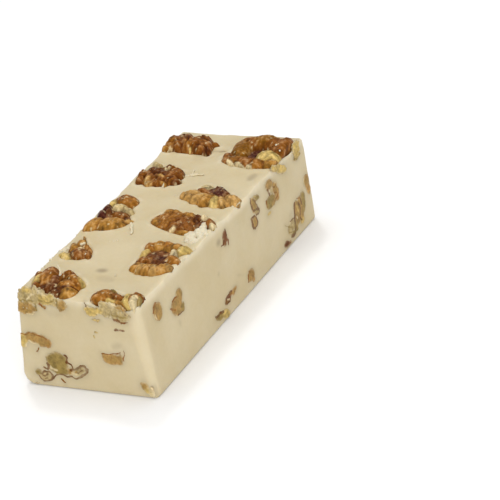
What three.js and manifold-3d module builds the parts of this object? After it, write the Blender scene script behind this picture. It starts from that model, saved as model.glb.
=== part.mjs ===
// A bar of walnut fudge: a hand-cut block of pale fudge with walnut halves pressed into its top,
// and walnut pieces that the knife has cut through showing flush in its sides.
// Millimetres, +Z up. X is the bar's width, Y its length, and the bar lies on its flat base.
import * as THREE from "three";
import { mergeVertices } from "three/addons/utils/BufferGeometryUtils.js";
import Module from "manifold-3d";

const wasm = await Module();
wasm.setup();

// The bar
const WIDTH = 50;
const LENGTH = 128;
const HEIGHT = 34;
const TOP_EDGE_RADIUS = 1.6;
const BASE_EDGE_RADIUS = 0.8;
const TRAY_EDGE_RADIUS = 5; // the lower left edge, moulded by the tray's rounded wall
const END_EDGE_RADIUS = 0.6;
const CORNER_BEVEL = { foot: 0.8, head: 2.8 }; // the blunt upright edge of the front end and right side
const ARC_STEPS = 2;
const OUTLINE_STEP = 8;
const LENGTH_STEPS = 10;
const RIPPLE = 0.5; // how far the poured top rolls up and down
const ROLL_LENGTH = 31;

// How far each corner of the hand-cut block strays from a true box, as [x, y, z]
const CORNER_SHIFT = {
  front: {
    base: { left: [-1.3, -1.4, 0], right: [0.6, -0.2, 0] },
    top: { left: [2, 2.2, 0.7], right: [-1.3, -0.7, 0] },
  },
  back: {
    base: { left: [-0.6, 0.2, 0], right: [0.3, 0.5, 0] },
    top: { left: [-0.6, -0.8, -0.4], right: [0.2, -0.3, -0.4] },
  },
};

// The walnuts
const GAP = 0.3; // clearance between a walnut piece and the fudge round it
const TRIM_HEIGHT = 15; // walnut that stands above the fudge is trimmed by the sides up to here
const CUT_DEPTH = 4.5; // how deep a cut piece reaches into the bar
const CUT_TAPER = 0.5; // its inner end, as a share of its outline in the cut
const CUT_PROUD = 1.5; // what the knife took off outside the side
const PLUG_SIDES = 8;
const HALF_SEGMENTS = 24;
const SUNK_RINGS = [[0, -1], [0.72, -0.72], [1, -0.06]];
const UPPER_RINGS = [0.93, 0.8, 0.62, 0.44, 0.22, 0];
const LOBES = 10; // scalloped lobes round a half
const SCALLOP = 0.09;
const TROUGH_HALF_WIDTH = 0.12;
const WING_CREST = 0.48;
const RIDGE_DEPTH = 0.6;
const FOLD_DEPTH = 0.2;

const FUDGE = new THREE.MeshStandardMaterial({ name: "fudge", color: 0xdccfae, roughness: 0.5 });
const SKIN = new THREE.MeshStandardMaterial({ name: "walnut_skin", color: 0x8f5a28, roughness: 0.55 });
const FLESH = new THREE.MeshStandardMaterial({ name: "walnut_flesh", color: 0xb8985c, roughness: 0.65 });

// Walnut halves on the top, from the back to the front. x and y place the middle, length runs along the
// trough and turn is its direction in degrees; trough shifts it off the middle as a share of the width.
// Rise and sink are the height above and the depth below the fudge.
const HALVES = [
  { x: -14.3, y: 48.8, length: 24, width: 18, turn: -10, rise: 4.8, sink: 5, face: "outside" },
  { x: 14.8, y: 46.5, length: 28.5, width: 27, turn: 20, rise: 3.8, sink: 6, face: "inside", trough: 0.05 },
  { x: -14.6, y: 23.7, length: 20.5, width: 18, turn: 50, rise: 4, sink: 5, face: "outside" },
  { x: 13.2, y: 13.1, length: 27, width: 19, turn: -4, rise: 2.4, sink: 5.5, face: "inside", trough: 0.25 },
  { x: -18, y: -6.2, length: 18, width: 30, turn: 6, rise: 2.8, sink: 5.5, face: "inside", trough: 0.05 },
  { x: 12.3, y: -7, length: 29, width: 18.5, turn: -8, rise: 2.2, sink: 5, face: "inside", trough: 0.1 },
  { x: -16.6, y: -33.3, length: 13.5, width: 11.5, turn: 130, rise: 3, sink: 4, face: "outside" },
  { x: 15.4, y: -33.2, length: 18, width: 25, turn: -6, rise: 2.8, sink: 5.5, face: "inside", trough: 0.05 },
  { x: -13, y: -56, length: 23.5, width: 21, turn: 8, rise: 3.2, sink: 7.5, face: "inside", trough: -0.1 },
  { x: 15.8, y: -61, length: 22, width: 17, turn: 4, rise: 2.4, sink: 6.5, face: "inside", trough: 0 },
];

// Pieces cut through by the knife. On each side u runs to the viewer's right from its middle and v up
// from the base. A piece is a chain of lobes [u, v, half width, half height, turn in degrees].
const CUT_PIECES = {
  front: [
    [[-23.6, 16, 2.4, 2.6, 0], [-19.5, 17.5, 3.4, 1.9, 0], [-15.3, 16.3, 2.8, 1.7, -20]],
    [[-11, 9, 4.1, 4.1, 0], [-17.2, 4.2, 3, 2.3, 10], [-9.5, 4.9, 6.2, 1.3, 0], [-2.8, 6.8, 2.5, 3.2, -35]],
    [[9.4, 13.7, 2.8, 2, 0], [13.2, 14, 3, 2.5, 20]],
    [[21, 4.3, 1.8, 2.6, 0], [22.9, 2.4, 1.5, 1.6, 0]],
  ],
  right: [
    [[-52.2, 26.7, 2.4, 3.4, 25]],
    [[-40.3, 22, 3.8, 3.5, 0], [-38, 25, 1.8, 2.2, 0]],
    [[-15.6, 3.9, 3.4, 1.4, -8], [-11.9, 2.6, 3, 1.7, -25]],
    [[-8.7, 6.4, 3.1, 1.6, 12], [-4.3, 7.4, 2.9, 1.8, 8]],
    [[-2.6, 27.3, 2.2, 2.8, -12]],
    [[8.9, 5.9, 2.7, 2.4, 0]],
    [[20.6, 28.6, 2.6, 3.4, 15], [21.6, 25.2, 2, 2, 0], [18.9, 22.2, 2.3, 2.8, -10]],
    [[33.6, 29.4, 2.9, 2.6, 0], [37, 26, 2.4, 3.7, 10], [32.9, 23.4, 3.4, 2.5, 0]],
    [[38.9, 2.5, 2.3, 1.5, -10]],
    [[50.3, 9, 3.4, 5.2, -8], [54.4, 10, 2.7, 4.8, -6], [47, 4.7, 2.9, 2.1, 30]],
    [[60.9, 16, 2, 4.2, 0]],
  ],
  back: [
    [[-13.6, 13.4, 3.4, 2.6, 10], [-8.8, 12, 3.2, 2.2, -15]],
    [[12, 20, 3.2, 3.4, 0], [13, 16, 2.4, 2.4, 0]],
    [[1.4, 6, 2.8, 2, 0], [4.9, 6.6, 2.4, 2.2, 0]],
  ],
  left: [
    [[-50.6, 12.5, 3, 2.4, 0], [-46.8, 11.6, 2.8, 2, -20]],
    [[-33, 21, 2.4, 3.4, 20]],
    [[-26, 9.6, 2.8, 2.2, 0], [-22.4, 11.6, 3, 2.6, 30]],
    [[-9, 19, 2.4, 2.8, 0], [-8.3, 15.4, 2, 2.6, 0]],
    [[3, 9.5, 3.2, 2, 15]],
    [[14.6, 20.6, 2.6, 2.4, 0], [17.8, 19.4, 2.6, 2.8, 0]],
    [[30, 12, 2.2, 3.2, -15]],
    [[51.6, 15.4, 2.6, 3, 0], [51.2, 11.6, 2.2, 2.4, 0]],
  ],
};

// Where a side's lower middle stands, and the turn about Z that brings its u axis and outward face round
const SIDES = {
  front: { at: new THREE.Vector3(0, -LENGTH / 2, 0), turn: 0 },
  right: { at: new THREE.Vector3(WIDTH / 2, 0, 0), turn: 90 },
  back: { at: new THREE.Vector3(0, LENGTH / 2, 0), turn: 180 },
  left: { at: new THREE.Vector3(-WIDTH / 2, 0, 0), turn: 270 },
};

const UP = new THREE.Vector3(0, 0, 1);
const radians = THREE.MathUtils.degToRad;

function solidFrom(geometry) {
  const bare = geometry.clone();
  bare.deleteAttribute("normal");
  bare.deleteAttribute("uv");
  const merged = mergeVertices(bare, 1e-4);
  return new wasm.Manifold(
    new wasm.Mesh({
      numProp: 3,
      vertProperties: new Float32Array(merged.attributes.position.array),
      triVerts: new Uint32Array(merged.index.array),
    }),
  );
}

function meshFrom(name, solid, material) {
  const { vertProperties, triVerts } = solid.getMesh();
  const geometry = new THREE.BufferGeometry();
  geometry.setAttribute("position", new THREE.BufferAttribute(new Float32Array(vertProperties), 3));
  geometry.setIndex(new THREE.BufferAttribute(new Uint32Array(triVerts), 1));
  geometry.computeVertexNormals();
  const mesh = new THREE.Mesh(geometry, material);
  mesh.name = name;
  return mesh;
}

function union(solids) {
  return solids.reduce((sum, next) => sum.add(next));
}

function largestPiece(solid) {
  return solid.decompose().reduce((best, next) => (next.volume() > best.volume() ? next : best));
}

// The bar's cross-section from the front: square-cut, but for the edge that the tray rounded
function crossSection(height, topRadius) {
  const half = WIDTH / 2;
  const outline = new THREE.Shape();
  outline.absarc(half - BASE_EDGE_RADIUS, BASE_EDGE_RADIUS, BASE_EDGE_RADIUS, -Math.PI / 2, 0);
  outline.absarc(half - topRadius, height - topRadius, topRadius, 0, Math.PI / 2);
  outline.absarc(-half + topRadius, height - topRadius, topRadius, Math.PI / 2, Math.PI);
  outline.absarc(-half + TRAY_EDGE_RADIUS, TRAY_EDGE_RADIUS, TRAY_EDGE_RADIUS, Math.PI, Math.PI * 1.5);
  const corners = outline.getPoints(ARC_STEPS);
  return new THREE.Shape(corners.flatMap((from, i) => stepped(from, corners[(i + 1) % corners.length])));
}

// A straight run of the outline without its end point, in steps short enough to follow the uneven block
function stepped(from, to) {
  const steps = Math.ceil(from.distanceTo(to) / OUTLINE_STEP);
  return Array.from({ length: steps }, (_, i) => from.clone().lerp(to, i / steps));
}

// The corner shifts blended for a point of the true box
function handCutShift(x, y, z) {
  const along = y / LENGTH + 0.5;
  const across = x / WIDTH + 0.5;
  const up = z / HEIGHT;
  const mix = THREE.MathUtils.lerp;
  return [0, 1, 2].map((axis) => {
    const level = (end, row) => mix(end[row].left[axis], end[row].right[axis], across);
    const endShift = (end) => mix(level(end, "base"), level(end, "top"), up);
    return mix(endShift(CORNER_SHIFT.front), endShift(CORNER_SHIFT.back), along);
  });
}

function topRipple(x, y, z) {
  const share = THREE.MathUtils.smoothstep(z / HEIGHT, 0.8, 1);
  const roll = Math.sin((y + 0.6 * x) * ((2 * Math.PI) / ROLL_LENGTH)) + Math.cos(x / 7 - y / 23);
  return 0.5 * RIPPLE * share * roll;
}

// The block before any walnut is let into it; with extra height it trims the walnuts above it
function block(extraHeight = 0) {
  const topRadius = extraHeight ? BASE_EDGE_RADIUS : TOP_EDGE_RADIUS;
  const geometry = new THREE.ExtrudeGeometry(crossSection(HEIGHT + extraHeight, topRadius), {
    depth: LENGTH - 2 * END_EDGE_RADIUS,
    steps: LENGTH_STEPS,
    bevelThickness: END_EDGE_RADIUS,
    bevelSize: END_EDGE_RADIUS,
    bevelOffset: -END_EDGE_RADIUS,
    bevelSegments: 2,
  });
  geometry.rotateX(Math.PI / 2);
  geometry.translate(0, LENGTH / 2 - END_EDGE_RADIUS, 0);
  const points = geometry.attributes.position;
  for (let i = 0; i < points.count; i++) {
    const [x, y, z] = [points.getX(i), points.getY(i), points.getZ(i)];
    const [dx, dy, dz] = handCutShift(x, y, z);
    points.setXYZ(i, x + dx, y + dy, z + dz + topRipple(x, y, z));
  }
  return solidFrom(geometry).subtract(bluntCorner(HEIGHT + extraHeight));
}

// What the worn upright edge at the front right has lost
function bluntCorner(height) {
  const mix = THREE.MathUtils.lerp;
  const { base, top } = CORNER_SHIFT.front;
  const geometry = new THREE.BoxGeometry(Math.SQRT2, Math.SQRT2, height + 2);
  geometry.rotateZ(Math.PI / 4);
  geometry.translate(0, 0, height / 2);
  const points = geometry.attributes.position;
  for (let i = 0; i < points.count; i++) {
    const up = points.getZ(i) / HEIGHT;
    const size = mix(CORNER_BEVEL.foot, CORNER_BEVEL.head, up);
    points.setX(i, WIDTH / 2 + mix(base.right[0], top.right[0], up) + size * points.getX(i));
    points.setY(i, -LENGTH / 2 + mix(base.right[1], top.right[1], up) + size * points.getY(i));
  }
  return solidFrom(geometry);
}

// Height of a half's upper face as a share of its rise; r and angle are polar, from the middle to the rim
const UPPER_FACE = {
  // Inside: two wings of ridges that radiate from the trough where the papery partition sat
  inside(r, angle, seed, trough) {
    const across = Math.abs(r * Math.sin(angle) - 2 * trough);
    const wing = THREE.MathUtils.smoothstep(across, TROUGH_HALF_WIDTH, WING_CREST);
    const ridge = 1 - RIDGE_DEPTH * r * (0.5 + 0.5 * Math.cos(LOBES * angle + seed));
    return (0.12 + 0.88 * wing * ridge) * (1 - r ** 5);
  },
  // Outside: a dome of winding folds, like a brain's
  outside(r, angle, seed) {
    const [u, v] = [r * Math.cos(angle), r * Math.sin(angle)];
    const fold = Math.cos(7 * u + 2.2 * Math.sin(5 * v + seed)) * r;
    return Math.sqrt(1 - r * r) * (0.86 + FOLD_DEPTH * fold);
  },
};

function scallop(angle, seed) {
  return 1 - SCALLOP * (0.5 + 0.5 * Math.cos(LOBES * angle + seed)) - 0.5 * SCALLOP * Math.cos(2 * angle + seed);
}

// A body turned about Z from rings of [radius share, height], then pulled to a half's scalloped outline
function turned(rings, spec, seed, grow, heightAt) {
  const { length, width, x, y, turn } = spec;
  const [dx, dy] = handCutShift(x, y, HEIGHT);
  const profile = rings.map(([r, level]) => new THREE.Vector2(r, level));
  const geometry = new THREE.LatheGeometry(profile, HALF_SEGMENTS);
  const points = geometry.attributes.position;
  for (let i = 0; i < points.count; i++) {
    const [px, level, py] = [points.getX(i), points.getY(i), points.getZ(i)];
    const r = Math.hypot(px, py);
    const angle = Math.atan2(px, py);
    const reach = r * scallop(angle, seed);
    points.setXYZ(
      i,
      reach * Math.cos(angle) * (length / 2 + grow),
      reach * Math.sin(angle) * (width / 2 + grow),
      heightAt(r, angle, level),
    );
  }
  geometry.rotateZ(radians(turn));
  geometry.translate(x + dx, y + dy, HEIGHT);
  return solidFrom(geometry);
}

function half(spec, seed) {
  const rings = [...SUNK_RINGS, ...UPPER_RINGS.map((r) => [r, 1])];
  const upper = UPPER_FACE[spec.face];
  return turned(rings, spec, seed, 0, (r, angle, level) =>
    level > 0 ? spec.rise * upper(r, angle, seed, spec.trough) : level * spec.sink,
  );
}

// The hole that a half leaves in the fudge, open upwards
function pocket(spec, seed) {
  const rings = [...SUNK_RINGS, [1, 1], [0, 1]];
  return turned(rings, spec, seed, GAP, (r, angle, level) =>
    level > 0 ? TRIM_HEIGHT : level * spec.sink - GAP,
  );
}

function cutPiece(lobes, side, grow = 0) {
  const { at, turn } = SIDES[side];
  const outer = 1 + ((1 - CUT_TAPER) * CUT_PROUD) / CUT_DEPTH;
  const plugs = lobes.map(([u, v, halfWidth, halfHeight, lean]) => {
    const geometry = new THREE.CylinderGeometry(CUT_TAPER, outer, CUT_DEPTH + CUT_PROUD, PLUG_SIDES);
    geometry.translate(0, (CUT_DEPTH - CUT_PROUD) / 2, 0);
    geometry.scale(halfWidth + grow, 1 + grow / CUT_DEPTH, halfHeight + grow);
    geometry.rotateY(-radians(lean));
    const place = new THREE.Vector3(u, 0, v).applyAxisAngle(UP, radians(turn)).add(at);
    const [dx, dy] = handCutShift(...place);
    geometry.rotateZ(radians(turn));
    geometry.translate(place.x + dx, place.y + dy, v);
    return solidFrom(geometry);
  });
  return union(plugs);
}

const plainBlock = block();
const trimmer = block(TRIM_HEIGHT);
const bar = new THREE.Group();
bar.name = "walnut_fudge_bar";
let fudge = plainBlock;

HALVES.forEach((spec, i) => {
  const seed = 10 * (i + 1);
  bar.add(meshFrom(`walnut_${i + 1}`, largestPiece(half(spec, seed).intersect(trimmer)), SKIN));
  fudge = fudge.subtract(pocket(spec, seed));
});

for (const [side, pieces] of Object.entries(CUT_PIECES)) {
  pieces.forEach((spec, i) => {
    const cut = cutPiece(spec, side).intersect(plainBlock);
    bar.add(meshFrom(`kernel_${side}_${i + 1}`, largestPiece(cut), FLESH));
    fudge = fudge.subtract(cutPiece(spec, side, GAP));
  });
}

bar.add(meshFrom("fudge", largestPiece(fudge), FUDGE));

// The origin goes under the middle of the bar
const middle = new THREE.Box3().setFromObject(bar).getCenter(new THREE.Vector3());
bar.children.forEach((mesh) => mesh.position.set(-middle.x, -middle.y, 0));

export default bar;
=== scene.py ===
# A hand-cut bar of walnut fudge: walnut halves pressed into the top, and walnut pieces that the knife
# went through showing in the sides. Everything is shaped in millimetres inside the true box of the bar,
# then set out of true like the real bar and brought to metres.
import math
from collections import namedtuple

import bpy
import numpy as np
from mathutils import Euler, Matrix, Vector, noise


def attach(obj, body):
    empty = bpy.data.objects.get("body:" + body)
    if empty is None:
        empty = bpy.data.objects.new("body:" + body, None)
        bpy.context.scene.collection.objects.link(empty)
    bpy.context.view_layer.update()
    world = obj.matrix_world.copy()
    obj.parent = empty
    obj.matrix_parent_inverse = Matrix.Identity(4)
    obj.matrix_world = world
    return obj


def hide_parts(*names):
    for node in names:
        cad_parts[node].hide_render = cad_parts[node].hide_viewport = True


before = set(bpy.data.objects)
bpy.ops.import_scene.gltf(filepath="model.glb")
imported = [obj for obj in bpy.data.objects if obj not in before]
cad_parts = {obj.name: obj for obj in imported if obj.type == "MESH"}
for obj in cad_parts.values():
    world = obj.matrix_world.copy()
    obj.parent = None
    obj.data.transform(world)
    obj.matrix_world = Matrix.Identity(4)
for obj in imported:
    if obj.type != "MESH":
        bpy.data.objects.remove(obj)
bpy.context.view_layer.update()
bpy.ops.object.select_all(action="DESELECT")

# The bar, in millimetres
MM = 0.001
WIDTH = 50
LENGTH = 128
HEIGHT = 34
TOP_EDGE = 1.1
BASE_EDGE = 0.8
TRAY_EDGE = 5  # the lower left edge, moulded by the tray's rounded wall
END_EDGE = 0.6
ON_SIDE = 0.1  # an edge nearer than this to a side of the box lies on it
BLUNT_CORNER = {"foot": 2, "head": 3.8}  # the worn upright edge at the front right
CORNER_FLATNESS = 1.35  # 1 is a flat chamfer, 2 a round
RIPPLE = 0.5  # height of the slow waves in the top
ROLL_LENGTH = 31  # one wave runs along the bar, a little slanted
ROLL_SLANT = 0.6
CROSS_ROLL = (7, 23)  # the other across it
SMEAR = 0.5  # fudge pushed up along the right top edge
LIP = 0.4  # fudge standing up around a walnut half
POCKET_SLOPE = 1.6
POCKET_DEPTH = 2.4
ORIGIN_SHIFT = np.array((0.13, 0.373, 0))

# How pale the edges and the fudge lips around the halves are painted where the light catches them (painted
# highlight), and how grey the fudge is around cut walnut
TOP_HIGHLIGHT = 2
UPRIGHT_HIGHLIGHT = 0.25
HIGHLIGHT_STRENGTH = 2.2
HIGHLIGHT_SPREAD = 9
LIP_HIGHLIGHT = 0.5
CUT_STAIN = 0.24

# Size of the mesh's cells
BLOCK_GRAIN = 0.56
NUT_GRAIN = 0.27
CUT_GRAIN = 0.2
CRUMB_GRAIN = 0.17

# Cut pieces, flakes and crumbs
CUT_DEPTH = 4.5
CUT_TAPER = 0.5
CUT_MARGIN = 1.2  # bare sheet around a piece before it is cut out
CUT_ROUGH = 0.05
PROUD = 0.12  # a cut piece stands this far out of the side
RIM_DROP = 0.12  # and its rim ends this far under it
FRAY = 1.5  # how far its outline frays, as a multiple of its roughness
SPOT_MELT = 2.5  # how sharply the colours of its spots meet
RIM_SKIN = 0.45  # how much of the skin's brown shows along its rim
TORN_PROUD = 0.25  # flesh of the halves, torn more than cut
TORN_DEPTH = 2.2
TORN_ROUGH = 0.3
FLAKE_PROUD = 0.5
STRING_PROUD = 0.55
SPECK_PROUD = 0.1
THIN_DEPTH = 1  # how deep flakes, string and specks go
CRUMB_TURN = 1.3
CRUMB_SQUASH = 0.75

# Walnut halves
HALF_MARGIN = 1.5
HALF_SUNK = 3  # a half reaches this far down into the fudge
ROOT_INSET = 1.6  # and keeps this far inside the sides there
TRIM = 0.05  # it may reach this far past the side that cuts it
OUTLINE_MELT = 1.6  # how sharply the outlines of the lobes meet
RELIEF_MELT = 4  # and their crowns
COLOUR_MELT = 6  # and their colours
LOBE_SPREAD = 1.35  # lobes rise this many times as wide as listed, so that they run together
LOBE_FOOT = 1.5  # and end this far under the fudge
BODY_SUNK = 0.5  # a body's colour shows only where it stands this much above the lobes
RIM_WIDTHS = {"walnut_1": 2.6, "walnut_2": 3.2, "walnut_3": 2.8, "walnut_4": 3, "walnut_7": 1.8}
PLAIN_RIM_WIDTH = 5  # a half's rounded rim, from the fudge up
RIM_HEIGHT = 5.4
RIM_ROUND = 0.66
RIM_SUNK = 0.1
GROOVE_DEPTH = 0.45
GROOVE_WIDTH = 0.5
FOLD_WIDTH = 0.17
SKIN_SWELL = 0.2
SKIN_WRINKLE = 0.13
STREAK_DEPTH = 0.2
STREAK_TONE = 0.8  # how much a streak lightens or darkens the skin
# painted light and shade: a wrinkle's crest is painted lighter and its hollow darker
WRINKLE_SHADING = 0.35
CHIP_SHARE = 0.75  # how much of the flesh's cream shows where skin is chipped off
# Painted shade in the grooves and folds of a half, and along its foot where it meets the fudge
CREASE_SHADE_SHARE = 0.8
RIM_SHADE = 0.4
# Size and depth of the folds in a half's skin
FOLDS = {"walnut_1": (3.4, 0.85), "walnut_3": (3.2, 0.75), "walnut_4": (2.2, 0.2), "walnut_6": (2.4, 0.45)}
PLAIN_FOLDS = (2.8, 0.12)
BENDS = {"walnut_1": 1.8, "walnut_3": 1.5}  # how far the lobes are bent out of shape
PLAIN_BEND = 0.7
STREAKS = {"walnut_1": 0.15, "walnut_3": 0.15, "walnut_6": 0.2, "walnut_2": 0.2}
PLAIN_STREAKS = 0.45
FIBRE_LENGTH = 6  # streaks are this many times as long as wide
FIBRE_WIDTH = 0.75
FIBRE_STEP = 7.3  # sets the streaks of one lobe apart from the next one's
# painted shade: the colour taken away in the creases
CREASE_SHADE = np.array((0.52, 0.66, 0.8))  # how much red, green and blue a crease takes away

# Unevenness as layers of bumps, each with a depth, a size and a seed
SEED_STEPS = (13.1, 7.7, 3.3)
BLOCK_SWELL = [(0.22, 13, 0), (0.08, 4.5, 1), (0.025, 1.6, 2)]
EDGE_WANDER = [(0.45, 7, 3), (0.3, 2.3, 4)]
OUTLINE_PUSH = {"u": [(0.55, 2.6, 21), (0.12, 0.9, 22)], "v": [(0.55, 2.6, 23), (0.12, 0.9, 24)]}
CUT_CRAGS = [(1, 1.3, 5), (0.6, 0.7, 35)]
CUT_MOTTLE = [(0.3, 1.4, 25), (0.25, 0.6, 26)]
SKIN_MOTTLE = [(0.45, 3.5, 33), (0.55, 1.4, 16), (0.35, 0.6, 17)]
SKIN_CHIPS = [(1, 1.2, 18), (0.3, 0.5, 19)]
HEAP_CRAGS = [(0.14, 1.6, 31), (0.03, 0.7, 32)]
# Tints in the flesh: colour, share, size and seed of the bumps, and between which of their heights it comes
CUT_TINTS = [("olive", 0.4, 1.9, 36, 0, 0.4), ("bark", 0.5, 1, 37, 0.35, 0.6)]
TINY = 1e-6  # keeps divisions from failing

# How far each corner of the hand-cut block strays from a true box, by end, level and side
CORNER_SHIFT = np.array([
    [[(-1.3, -1.4, 0), (0.6, -0.2, 0)], [(2, 2.2, 0.7), (-1.3, -0.7, 0)]],
    [[(-0.6, 0.2, 0), (0.3, 0.5, 0)], [(-0.6, -0.8, -0.4), (0.2, -0.3, -0.4)]],
])

# Colours as they look in even light, as red, green and blue out of 255
COLOURS = {
    "fudge": (218, 202, 165),
    "fudge_warm": (212, 194, 153),
    # pale is the painted highlight along the fudge's edges and lips, and also the flakes' own colour
    "pale": (240, 227, 196),
    "torn": (230, 219, 192),
    "smudge": (156, 138, 110),
    "plum": (86, 40, 26),
    "umber": (104, 54, 10),
    "brown": (138, 82, 22),
    "chestnut": (158, 102, 32),
    "amber": (174, 123, 50),
    "moss": (138, 90, 18),
    "tan": (190, 146, 80),
    "straw": (208, 178, 104),
    "cream": (226, 206, 160),
    "olive": (154, 130, 70),
    "flesh": (174, 137, 76),
    "putty": (190, 168, 118),
    "bark": (122, 88, 56),
    "rust": (122, 72, 34),
}
LIGHT_LEVEL = 1.2


def linear(name):
    """A colour's share of the light for each channel, so that it looks as listed in this light."""
    shares = [channel / 255 for channel in COLOURS[name]]
    return [(((s + 0.055) / 1.055) ** 2.4) / LIGHT_LEVEL for s in shares]


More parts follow.
